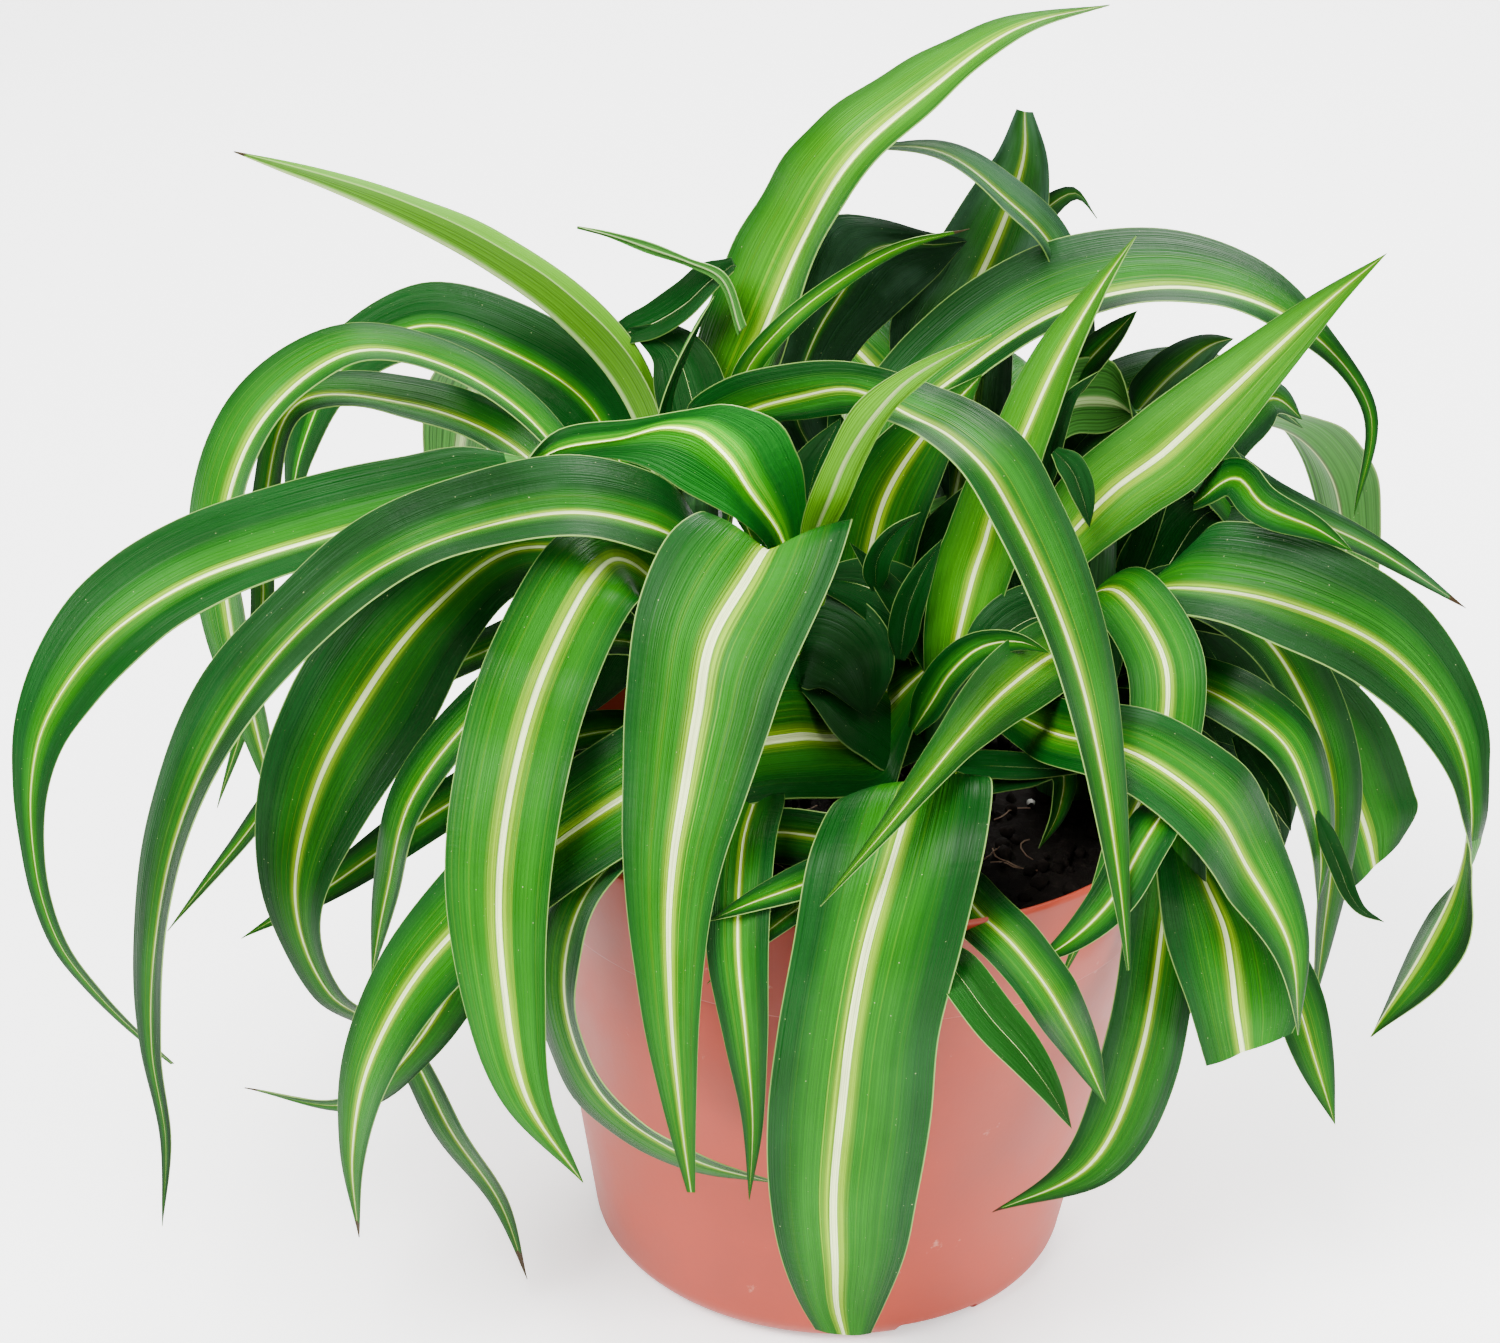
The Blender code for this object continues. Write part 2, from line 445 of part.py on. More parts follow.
def make_leaf(leaf, material):
    """One leaf: a closed, creased strip lofted through its ribs and drawn to a point."""
    ribs, tip = leaf_ribs(leaf)
    bm = bmesh.new()
    rings = [[bm.verts.new(corner) for corner in rib] for rib in ribs]
    point = bm.verts.new(tip)
    left, upper, right, lower = rings[0]
    bm.faces.new((left, lower, upper))
    bm.faces.new((upper, lower, right))
    for ring, following in zip(rings, rings[1:]):
        for i in range(4):
            j = (i + 1) % 4
            last = (following[j], following[i])[i // 2]  # both skins split along one diagonal
            first = (ring[i], ring[j])[i // 2]
            bm.faces.new((ring[i], ring[j], last))
            bm.faces.new((first, following[j], following[i]))
    for i in range(4):
        bm.faces.new((rings[-1][i], rings[-1][(i + 1) % 4], point))
    return object_from_bmesh(f"leaf_{leaf.name}", bm, material)


def main():
    """Build the pot, the soil, the crowns and every leaf."""
    clear_scene()
    make_pot(principled("pot_plastic", (0.55, 0.16, 0.10), 0.45))
    make_soil(principled("soil", (0.012, 0.009, 0.007), 0.95))
    crown_green = principled("crown_green", (0.28, 0.42, 0.12), 0.5)
    for name in CROWNS:
        make_crown(name, crown_green)
    leaf_green = principled("leaf_green", (0.06, 0.26, 0.02), 0.4)
    for leaf in LEAVES:
        make_leaf(leaf, leaf_green)


if __name__ == "__main__":
    main()
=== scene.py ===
"""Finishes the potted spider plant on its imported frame: leaves, crowns, soil, pot and stage.

Laid out as an add-on: the settings are property groups, each operator makes one kind of
piece, and the panel lists them. Everything is in metres, in the frame's own axes.
"""

import math
import random

import bmesh
import bpy
import numpy as np
from bpy.props import FloatProperty, FloatVectorProperty, IntProperty, PointerProperty
from mathutils import Matrix, Vector, noise


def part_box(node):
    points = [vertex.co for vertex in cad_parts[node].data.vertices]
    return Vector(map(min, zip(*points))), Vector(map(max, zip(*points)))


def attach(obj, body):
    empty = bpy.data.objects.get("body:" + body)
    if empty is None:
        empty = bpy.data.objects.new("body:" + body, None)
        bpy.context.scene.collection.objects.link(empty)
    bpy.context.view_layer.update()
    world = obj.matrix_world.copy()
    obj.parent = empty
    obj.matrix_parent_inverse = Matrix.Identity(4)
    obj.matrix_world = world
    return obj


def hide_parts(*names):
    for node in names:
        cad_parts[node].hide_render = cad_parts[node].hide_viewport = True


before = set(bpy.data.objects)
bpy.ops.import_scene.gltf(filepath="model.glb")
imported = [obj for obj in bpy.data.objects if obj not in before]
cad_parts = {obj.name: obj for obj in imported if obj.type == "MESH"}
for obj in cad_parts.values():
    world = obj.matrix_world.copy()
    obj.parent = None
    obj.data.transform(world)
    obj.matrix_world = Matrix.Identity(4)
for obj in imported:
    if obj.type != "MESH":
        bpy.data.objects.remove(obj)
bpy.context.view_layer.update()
POT_LOW, POT_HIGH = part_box("pot")
SOIL_LOW, SOIL_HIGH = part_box("soil")

bl_info = {
    "name": "Potted Spider Plant",
    "version": (1, 0, 0),
    "blender": (4, 5, 0),
    "location": "3D View > Sidebar > Spider Plant",
    "description": "Grows a striped spider plant in its nursery pot",
    "category": "Object",
}

MM = 0.001
BAND_REACH = 7.0  # the coloured bands fade out at this many widths of the stripe
WHOLE = 2  # a joint past the tip: the rings make the whole blade
SMALL_FULLEST = 0.45  # share of its length where a small leaf is widest


# Settings -------------------------------------------------------------------------------


def colour_setting(name, description, default):
    """A colour property."""
    return FloatVectorProperty(name=name, description=description, default=default,
                               subtype="COLOR", size=3, min=0.0, max=1.0)


class SpiderPlantLeafSettings(bpy.types.PropertyGroup):
    """Sizes and colours shared by the leaves."""

    thickness: FloatProperty(name="Thickness", description="Thickness of a blade at its midrib",
                             default=0.55 * MM, unit="LENGTH", precision=5)
    margin: FloatProperty(name="Margin thickness", description="Thickness at a blade's margin",
                          default=0.22 * MM, unit="LENGTH", precision=5)
    arch: FloatProperty(name="Arch", description="How far each half of a blade bulges, as a "
                        "share of its width", default=0.035, subtype="FACTOR")
    cream: colour_setting("Stripe", "Colour of the central stripe", (0.84, 0.96, 0.44))
    band: colour_setting("Band", "Colour of the bands beside the stripe", (0.21, 0.38, 0.001))
    green: colour_setting("Green", "Colour of a blade's inner half", (0.011, 0.128, 0.001))
    deep: colour_setting("Deep green", "Colour of a blade's outer half", (0.001, 0.040, 0.002))
    rim: colour_setting("Margin", "Colour of the thin pale margin", (0.18, 0.30, 0.07))
    under: colour_setting("Underside", "Colour of the underside", (0.028, 0.12, 0.015))
    # The haze colour is painted sheen: grey-green standing in for soft light reflected off the
    # blades.
    painted_sheen: colour_setting("Haze", "Colour of the bloom on old leaves", (0.055, 0.115, 0.070))
    dry: colour_setting("Dry tip", "Colour of dried tips", (0.045, 0.022, 0.010))
    roughness: FloatProperty(name="Roughness", description="Roughness of the blades",
                             default=0.40, subtype="FACTOR")


class SpiderPlantPotSettings(bpy.types.PropertyGroup):
    """Sizes and colours of the pot and what fills it."""

    segments: IntProperty(name="Segments", description="Sides of the turned pot", default=180)
    plastic: colour_setting("Plastic", "Colour of the pot", (0.27, 0.031, 0.014))
    roughness: FloatProperty(name="Roughness", description="Roughness of the plastic",
                             default=0.46, subtype="FACTOR")
    soil: colour_setting("Soil", "Colour of the soil", (0.007, 0.005, 0.004))
    crumbs: IntProperty(name="Crumbs", description="Number of loose crumbs", default=420)
    grains: IntProperty(name="Perlite", description="Number of pale grains", default=26)


class SpiderPlantStageSettings(bpy.types.PropertyGroup):
    """Camera, floor and light."""

    distance: FloatProperty(name="Distance", description="Camera distance from its target",
                            default=0.650, unit="LENGTH")
    elevation: FloatProperty(name="Elevation", description="Camera angle above the horizon",
                             default=math.radians(26.7), subtype="ANGLE")
    roll: FloatProperty(name="Roll", description="Camera turn about its own axis",
                        default=math.radians(2.08), subtype="ANGLE")
    lens: FloatProperty(name="Lens", description="Focal length in millimetres", default=86.65)
    target: FloatVectorProperty(name="Target", description="Point that the camera looks at",
                                default=(-0.01864, 0.0, 0.1153), subtype="XYZ", size=3)
    floor_size: FloatProperty(name="Floor", description="Width of the floor", default=8.0,
                              unit="LENGTH")
    light: FloatProperty(name="Light", description="Strength of the key light", default=80.0)
    surround: FloatProperty(name="Surround", description="Strength of the pale surround",
                            default=0.34)
    glow: FloatProperty(name="Floor glow", description="Light that the floor gives off",
                        default=0.7)


# Node helpers ---------------------------------------------------------------------------


def new_material(name):
    """An empty node material with its shader and output."""
    material = bpy.data.materials.new(name)
    material.use_nodes = True
    tree = material.node_tree
    shader = tree.nodes["Principled BSDF"]
    return material, tree, shader


def add(tree, kind, *inputs, **settings):
    """A node with its settings; inputs are sockets or values, in the node's own order."""
    made = tree.nodes.new(kind)
    for key, value in settings.items():
        setattr(made, key, value)
    for socket, value in zip(made.inputs, inputs):
        put(tree, socket, value)
    return made


def put(tree, socket, value):
    """Link a socket to another one, or set it to a value."""
    if value is None:
        return
    if isinstance(value, bpy.types.NodeSocket):
        tree.links.new(value, socket)
    else:
        socket.default_value = value


def maths(tree, operation, a, b=None, c=None, clamp=False):
    """A maths node's result."""
    return add(tree, "ShaderNodeMath", a, b, c, operation=operation, use_clamp=clamp).outputs[0]


def ramp(tree, factor, stops):
    """A colour ramp's result from (position, value or colour) stops."""
    made = add(tree, "ShaderNodeValToRGB", factor)
    elements = made.color_ramp.elements
    while len(elements) > 1:
        elements.remove(elements[-1])
    for index, (position, value) in enumerate(stops):
        colour = (value,) * 3 if isinstance(value, (int, float)) else tuple(value)
        element = elements[0] if index == 0 else elements.new(position)
        element.position = position
        element.color = (*colour, 1.0)
    return made.outputs[0]


def blend(tree, factor, first, second, mode="MIX"):
    """A colour mix; the inputs are sockets or colours."""
    made = tree.nodes.new("ShaderNodeMix")
    made.data_type, made.blend_type = "RGBA", mode
    for index, value in ((0, factor), (6, first), (7, second)):
        if isinstance(value, (tuple, list)) and len(value) == 3:
            value = (*value, 1.0)
        put(tree, made.inputs[index], value)
    return made.outputs[2]


def stretched_noise(tree, x, y, z, scale, detail=2.0, rough=0.5):
    """A noise value at a point put together from three numbers or sockets."""
    place = add(tree, "ShaderNodeCombineXYZ", x, y, z).outputs[0]
    return add(tree, "ShaderNodeTexNoise", place, None, scale, detail, rough).outputs[0]


def bump(tree, height, distance, strength=1.0):
    """A bump node's normal."""
    made = tree.nodes.new("ShaderNodeBump")
    made.inputs["Strength"].default_value = strength
    made.inputs["Distance"].default_value = distance
    put(tree, made.inputs["Height"], height)
    return made.outputs[0]


# Leaf materials -------------------------------------------------------------------------


def leaf_coordinates(tree):
    """Across (0 to 1), distance from the midrib (0 to 1) and along (decimetres)."""
    spot = add(tree, "ShaderNodeUVMap", uv_map="UVMap").outputs[0]
    parts = add(tree, "ShaderNodeSeparateXYZ", spot)
    across, along = parts.outputs[0], parts.outputs[1]
    aside = maths(tree, "ABSOLUTE", maths(tree, "MULTIPLY_ADD", across, 2.0, -1.0))
    return across, aside, along


def leaf_attribute(tree, name):
    """A number kept on the leaf's own points."""
    return add(tree, "ShaderNodeAttribute", attribute_name=name).outputs["Fac"]


def leaf_upper(name, leaf, tint=(1.0, 1.0, 1.0), sheen=0.0):
    """The upper face: cream stripe, fine yellow-green lines, veined green and pale margin."""
    _, tree, shader = new_material(name)
    across, aside, along = leaf_coordinates(tree)
    stripe, tone = leaf_attribute(tree, "stripe"), leaf_attribute(tree, "tone")
    cream, band = tuple(leaf.cream), tuple(leaf.band)
    green, deep = (tuple(c * t for c, t in zip(colour, tint)) for colour in
                   (leaf.green, leaf.deep))
    near_band = tuple(0.45 * a + 0.55 * b for a, b in zip(band, green))

    fibres = lengthways_noise(tree, across, along, 70.0, 1.1, 0.0)
    drift = stretched_noise(tree, maths(tree, "MULTIPLY", across, 3.0), along, 4.0, 2.2)
    warp = maths(tree, "MULTIPLY_ADD", maths(tree, "SUBTRACT", fibres, 0.5), 0.05,
                 maths(tree, "MULTIPLY", maths(tree, "SUBTRACT", drift, 0.5), 0.06))
    from_rib = maths(tree, "MAXIMUM", maths(tree, "ADD", aside, warp), 0.0)
    reach = maths(tree, "DIVIDE", from_rib, maths(tree, "MULTIPLY", stripe, BAND_REACH), clamp=True)
    base = ramp(tree, reach, [(0.0, cream), (0.052, cream), (0.062, near_band), (0.070, near_band),
                              (0.078, band), (0.125, band), (0.150, near_band), (0.23, green),
                              (0.42, green), (0.90, deep), (1.0, deep)])
    threads = ramp(tree, lengthways_noise(tree, across, along, 150.0, 0.2, 7.0),
                   [(0.0, 0.0), (0.60, 0.0), (0.66, 0.40), (1.0, 0.5)])
    base = blend(tree, maths(tree, "MULTIPLY", threads, ramp(tree, reach, [(0.02, 0.0),
                 (0.045, 1.0), (0.08, 0.0)])), base, near_band)
    streaks = ramp(tree, lengthways_noise(tree, across, along, 44.0, 0.16, 9.0),
                   [(0.0, 0.0), (0.60, 0.0), (0.63, 0.9), (1.0, 1.0)])
    beside = ramp(tree, reach, [(0.08, 0.0), (0.11, 0.85), (0.22, 0.50), (0.36, 0.14),
                                (0.7, 0.05), (1.0, 0.0)])
    base = blend(tree, maths(tree, "MULTIPLY", streaks, beside), base, band)
    veins = lengthways_noise(tree, across, along, 120.0, 0.5, 2.0)
    base = blend(tree, ramp(tree, veins, [(0.32, 0.0), (0.66, 0.42)]), base,
                 tuple(c * 0.55 for c in deep))
    cloud = stretched_noise(tree, maths(tree, "MULTIPLY", across, 1.3),
                            maths(tree, "MULTIPLY", along, 2.2), 6.0, 1.6, 3.0, 0.55)
    lift = maths(tree, "ADD", ramp(tree, cloud, [(0.25, 0.70), (0.50, 0.98), (0.78, 1.30)]), tone)
    base = blend(tree, 1.0, base, add(tree, "ShaderNodeCombineXYZ", lift, lift, lift).outputs[0],
                 "MULTIPLY")
    # Painted sheen: cloud-shaped grey-green patches, faint on every blade and strong on the sheened
    # leaves, stand in for soft reflected light.
    sheen_patches = ramp(tree, cloud, [(0.44, 0.10), (0.66, 1.0)])
    base = blend(tree, maths(tree, "MULTIPLY", sheen_patches, 0.05 + sheen), base, tuple(leaf.painted_sheen))
    margin = ramp(tree, aside, [(0.0, 0.0), (0.980, 0.0), (0.992, 0.7), (1.0, 0.8)])
    base = blend(tree, margin, base, tuple(leaf.rim))
    base = weathered(tree, leaf, base, across, along)
    put(tree, shader.inputs["Base Color"], base)

    crossing = stretched_noise(tree, maths(tree, "MULTIPLY", across, 5.0),
                               maths(tree, "MULTIPLY", along, 60.0), 3.0, 1.0, 3.0, 0.6)
    where = ramp(tree, drift, [(0.40, 0.0), (0.62, 1.0)])
    wrinkle = maths(tree, "MULTIPLY", crossing, maths(tree, "MULTIPLY", where, 0.9))
    height = maths(tree, "ADD", wrinkle, maths(tree, "MULTIPLY_ADD", fibres, 0.9,
                                               maths(tree, "MULTIPLY", veins, 0.8)))
    put(tree, shader.inputs["Normal"], bump(tree, height, 0.32 * MM, 0.9))
    put(tree, shader.inputs["Roughness"],
        ramp(tree, drift, [(0.3, leaf.roughness - 0.08), (0.7, leaf.roughness + 0.12)]))
    shader.inputs["Specular IOR Level"].default_value = 0.09


def lengthways_noise(tree, across, along, wide, long, offset):
    """Noise drawn out along a blade into parallel lines."""
    return stretched_noise(tree, maths(tree, "MULTIPLY", across, wide),
                           maths(tree, "MULTIPLY", along, long), offset, 1.0, 1.0, 0.5)


def weathered(tree, leaf, base, across, along):
    """Dried brown ends and a few small pale specks."""
    dry = leaf_attribute(tree, "dry")
    edge = stretched_noise(tree, maths(tree, "MULTIPLY", across, 2.0),
                           maths(tree, "MULTIPLY", along, 9.0), 1.0, 2.0)
    burnt = maths(tree, "GREATER_THAN", maths(tree, "MULTIPLY_ADD", edge, 0.3, dry), 0.65)
    base = blend(tree, maths(tree, "MULTIPLY", burnt, 0.95), base, tuple(leaf.dry))
    specks = stretched_noise(tree, maths(tree, "MULTIPLY", across, 60.0),
                             maths(tree, "MULTIPLY", along, 260.0), 8.0, 1.0, 0.0)
    return blend(tree, ramp(tree, specks, [(0.0, 0.0), (0.86, 0.0), (0.88, 0.25), (1.0, 0.3)]),
                 base, tuple(leaf.cream))


def leaf_lower(name, leaf, tint=(1.0, 1.0, 1.0)):
    """The paler, closely ribbed underside with its keel."""
    _, tree, shader = new_material(name)
    across, aside, along = leaf_coordinates(tree)
    stripe = leaf_attribute(tree, "stripe")
    under = tuple(c * t for c, t in zip(leaf.under, tint))
    ribs = lengthways_noise(tree, across, along, 36.0, 0.35, 5.0)
    reach = maths(tree, "DIVIDE", aside, maths(tree, "MULTIPLY", stripe, BAND_REACH), clamp=True)
    pale = tuple(0.6 * a + 0.4 * b for a, b in zip(under, leaf.cream))
    base = ramp(tree, reach, [(0.0, pale), (0.10, pale), (0.22, under), (1.0, under)])
    base = blend(tree, ramp(tree, ribs, [(0.46, 0.0), (0.60, 0.6)]), base,
                 tuple(c * 1.6 for c in under))
    base = blend(tree, ramp(tree, ribs, [(0.36, 0.75), (0.44, 0.0)]), base,
                 tuple(c * 0.42 for c in under))
    margin = ramp(tree, aside, [(0.0, 0.0), (0.95, 0.0), (0.985, 0.7), (1.0, 0.8)])
    base = blend(tree, margin, base, tuple(leaf.rim))
    put(tree, shader.inputs["Base Color"], weathered(tree, leaf, base, across, along))
    put(tree, shader.inputs["Normal"], bump(tree, ribs, 0.3 * MM, 0.9))
    shader.inputs["Roughness"].default_value = 0.55
    shader.inputs["Specular IOR Level"].default_value = 0.08


# Leaf shapes ----------------------------------------------------------------------------


def welded(mesh):
    """Corner positions of a mesh and each corner's neighbours, doubled corners joined."""
    raw = np.array([vertex.co[:] for vertex in mesh.vertices])
    _, index = np.unique(np.round(raw / 2e-6).astype(np.int64), axis=0, return_inverse=True)
    index = index.reshape(-1)
    points = np.zeros((index.max() + 1, 3))
    points[index] = raw
    near = [set() for _ in points]
    for polygon in mesh.polygons:
        loop = [int(index[i]) for i in polygon.vertices]
        for a, b in zip(loop, loop[1:] + loop[:1]):
            near[a].add(b)
            near[b].add(a)
    return points, near


def leaf_rings(points, near):
    """A leaf's rings of four corners from base to tip, found by walking back from the tip."""
    for tip in range(len(points)):
        if len(near[tip]) != 4:
            continue
        layers, seen = [[tip]], {tip}
        while True:
            step = sorted(set().union(*(near[i] for i in layers[-1])) - seen)
            if len(step) != 4:
                break
            seen.update(step)
            layers.append(step)
        if len(seen) == len(points):
            return layers[:0:-1], points[tip]
    raise RuntimeError("a leaf's rings can't be told apart")


def ribs_of(node):
    """Left edges, midrib, right edges and upper normals of a leaf node, base to tip."""
    points, near = welded(node.data)
    rings, tip = leaf_rings(points, near)
    left, right, first, second = [], [], [], []
    for ring in rings:
        pairs = [(a, b) for i, a in enumerate(ring) for b in ring[i + 1:]]
        edge = max(pairs, key=lambda pair: np.linalg.norm(points[pair[0]] - points[pair[1]]))
        rib = [i for i in ring if i not in edge]
        if left:
            edge = nearer_first(points, edge, left[-1], right[-1])
            rib = nearer_first(points, rib, first[-1], second[-1])
        left.append(points[edge[0]])
        right.append(points[edge[1]])
        first.append(points[rib[0]])
        second.append(points[rib[1]])
    left, right, first, second = map(np.array, (left, right, first, second))
    rib = (first + second) / 2
    vote = np.sum(((left + right) / 2 - rib) * (first - second))
    normals = unit((first - second) * (1.0 if vote > 0 else -1.0))
    ends = [np.vstack([part, tip]) for part in (left, rib, right)]
    return (*ends, np.vstack([normals, normals[-1]]))


def nearer_first(points, pair, one, other):
    """The pair ordered so that it follows the two points before it."""
    a, b = (points[i] for i in pair)
    straight = np.linalg.norm(a - one) + np.linalg.norm(b - other)
    crossed = np.linalg.norm(b - one) + np.linalg.norm(a - other)
    return pair if straight <= crossed else (pair[1], pair[0])


def unit(vectors):
    """Vectors scaled to length one."""
    vectors = np.asarray(vectors, float)
    return vectors / np.maximum(np.linalg.norm(vectors, axis=-1, keepdims=True), 1e-12)


def smoothed(columns, knots, wanted):
    """A smooth curve through rows of numbers given at the knots."""
    columns = np.asarray(columns, float)
    slopes = np.gradient(columns, knots, axis=0)
    place = np.clip(np.searchsorted(knots, wanted, side="right") - 1, 0, len(knots) - 2)
    gap = (knots[place + 1] - knots[place])[:, None]
    t = ((wanted - knots[place]) / (knots[place + 1] - knots[place]))[:, None]
    rise = columns[place + 1] - columns[place]
    start, end = slopes[place] * gap, slopes[place + 1] * gap
    return (columns[place] + start * t + (3 * rise - 2 * start - end) * t**2
            + (start + end - 2 * rise) * t**3)


def relaxed(rows):
    """Rows evened out with their neighbours, both ends kept."""
    rows = np.array(rows, float)
    rows[1:-1] = (rows[:-2] + 2 * rows[1:-1] + rows[2:]) / 4
    return rows


def eased(share, knots, column):
    """One column of (share, values...) knots, with its corners rounded."""
    table = np.array(knots, float)
    spread = [np.interp(share + step, table[:, 0], table[:, column])
              for step in (-0.03, -0.015, 0.0, 0.015, 0.03)]
    return np.mean(spread, axis=0)


def about(vectors, axes, angle):
    """Vectors turned about unit axes that are square to them."""
    angle = angle[:, None]
    return vectors * np.cos(angle) + np.cross(axes, vectors) * np.sin(angle)


def blade_lines(ribs, look, share):
    """A blade's midrib, arms to its two edges and upper normal at shares of its length."""
    left, rib, right, normals = ribs
    knots = np.concatenate([[0.0], np.cumsum(np.linalg.norm(np.diff(rib, axis=0), axis=1))])
    along = share * knots[-1]
    centre = smoothed(rib, knots, along)
    if look["shift"]:
        centre = centre + np.stack([eased(share, look["shift"], i) for i in (1, 2, 3)], -1) * MM
    ahead = unit(np.gradient(centre, axis=0))
    turn = np.radians(eased(share, look["shape"], 2))
    factor = eased(share, look["shape"], 1)[:, None]
    arms = [about(smoothed(relaxed(edge - rib), knots, along), ahead, turn) * factor
            for edge in (left, right)]
    upper = unit(about(smoothed(relaxed(normals), knots, along), ahead, turn))
    return centre, arms[0], arms[1], upper


def joined_blade(rings, joint, lines):
    """Rings of (left, midrib, right) laid before a blade's own lines from the share joint on."""
    rings = np.array(rings, float) * MM
    share, centre, to_left, to_right, upper = lines
    kept = share >= joint
    after = np.stack([centre + to_left, centre, centre + to_right], 1)[kept]
    if kept.any():
        near = np.linalg.norm(rings[-1, 0] - after[0, 0])
        far = np.linalg.norm(rings[-1, 2] - after[0, 0])
        rings = rings[:, ::-1] if near > far else rings
    every = np.vstack([rings, after[::6]])
    knots = np.concatenate([[0.0], np.cumsum(np.linalg.norm(np.diff(every[:, 1], axis=0), axis=1))])
    along = np.linspace(0.0, knots[-1] * 0.998, len(share))
    edges = [smoothed(every[:, i], knots, along) for i in range(3)]
    ahead = unit(np.gradient(edges[1], axis=0))
    facing = unit(np.cross(edges[2] - edges[0], ahead))
    if kept.any() and np.dot(facing[-1], upper[-1]) < 0:
        facing = -facing
    return edges[1], edges[0] - edges[1], edges[2] - edges[1], facing


def leaf_grid(ribs, leaf, look):
    """Top points, unit normals, across and along values on a fine grid over a leaf."""
    length = np.linalg.norm(np.diff(ribs[1], axis=0), axis=1).sum()
    width = 2 * np.linalg.norm(ribs[0] - ribs[1], axis=1).max()
    rows = int(np.clip(length / (1.6 * MM), 30, 170))
    columns = 17 if width > 11 * MM else 11
    share = np.linspace(0.0, 0.998, rows)
    centre, to_left, to_right, upper = blade_lines(ribs, look, share)
    if look.get("rings"):
        joint, rings = look["rings"]
        centre, to_left, to_right, upper = joined_blade(
            rings, joint, (share, centre, to_left, to_right, upper))
    steps = np.linalg.norm(np.diff(centre, axis=0), axis=1)
    along = np.concatenate([[0.0], np.cumsum(steps)])
    length = along[-1] * 1.002
    share = along / length
    across = np.linspace(-1.0, 1.0, columns)
    soft = np.sqrt(across**2 + look["crease"]**2)
    weight_left = (soft - across) / 2
    weight_right = (soft + across) / 2
    grid = (centre[:, None] + to_left[:, None] * weight_left[None, :, None]
            + to_right[:, None] * weight_right[None, :, None])
    half = (np.linalg.norm(to_left, axis=1) + np.linalg.norm(to_right, axis=1)) / 2
    bulge = leaf.arch * 2 * half[:, None] * np.sin(math.pi * np.abs(across))[None, :]
    chance = random.Random(look["seed"])
    waves = np.zeros((rows, columns))
    for side in (-1.0, 1.0):
        for _ in range(3):
            pitch, start = chance.uniform(14, 38) * MM, chance.uniform(0, math.tau)
            size = look["wave"] * chance.uniform(0.4, 1.0)
            reach = np.clip(across * side, 0.0, 1.0)**2
            waves += size * np.outer(np.sin(along / pitch * math.tau + start), reach)
    fade = np.minimum(1.0, half / half.max() * 1.4) * np.sin(math.pi * np.clip(share, 0, 1))**0.5
    grid = grid + upper[:, None] * (bulge + waves * fade[:, None])[..., None]
    lengthways = np.gradient(grid, axis=0)
    sideways = np.gradient(grid, axis=1)
    facing = unit(np.cross(sideways, lengthways))
    turn = np.sign(np.sum(facing * upper[:, None], axis=-1, keepdims=True))
    return grid, facing * np.where(turn == 0, 1, turn), across, along, length


def leaf_piece(name, ribs, leaf, look, materials):
    """A closed blade: upper face, underside and a thin edge all round."""
    grid, facing, across, along, length = leaf_grid(ribs, leaf, look)
    rows, columns = grid.shape[:2]
    taper = np.minimum(1.0, (1.0 - along / length) * 9.0 + 0.25)[:, None]
    thick = (leaf.margin + (leaf.thickness - leaf.margin) * (1 - across**2)[None, :]) * taper
    keel = 0.35 * MM * np.exp(-(across / 0.09)**2)[None, :] * taper
    top = grid + facing * (thick / 2)[..., None]
    bottom = grid - facing * (thick / 2 + keel)[..., None]
    points = np.vstack([top.reshape(-1, 3), bottom.reshape(-1, 3)])
    number = np.arange(rows * columns).reshape(rows, columns)
    low = number + rows * columns
    quads = np.stack([number[:-1, :-1], number[:-1, 1:], number[1:, 1:], number[1:, :-1]], -1)
    under = quads[..., ::-1] + rows * columns
    sides = [(number[i, e], number[i + 1, e], low[i + 1, e], low[i, e])[::flip]
             for e, flip in ((0, 1), (-1, -1)) for i in range(rows - 1)]
    ends = [(number[e, j], number[e, j + 1], low[e, j + 1], low[e, j])[::flip]
            for e, flip in ((0, -1), (-1, 1)) for j in range(columns - 1)]
    faces = np.vstack([quads.reshape(-1, 4), under.reshape(-1, 4), sides, ends])
    mesh = bpy.data.meshes.new(name)
    mesh.from_pydata(points.tolist(), [], faces.tolist())
    count = quads.size // 4
    slots = np.zeros(len(faces), int)
    slots[count:2 * count] = 1
    first, last = look["turned_over"]
    part = along[:-1] / length
    turned_over = np.repeat((part >= first) & (part < last), columns - 1)
    slots[:2 * count] ^= np.tile(turned_over, 2)
    for material in materials:
        mesh.materials.append(material)
    mesh.polygons.foreach_set("material_index", slots)
    mesh.shade_smooth()
    mesh.set_sharp_from_angle(angle=math.radians(60))
    lay_coordinates(mesh, rows, columns, across, along, look)
    bm = bmesh.new()
    bm.from_mesh(mesh)
    if bm.calc_volume(signed=True) < 0:
        bmesh.ops.reverse_faces(bm, faces=bm.faces)
        bm.to_mesh(mesh)
    bm.free()
    thing = bpy.data.objects.new(name, mesh)
    bpy.context.scene.collection.objects.link(thing)
    return thing


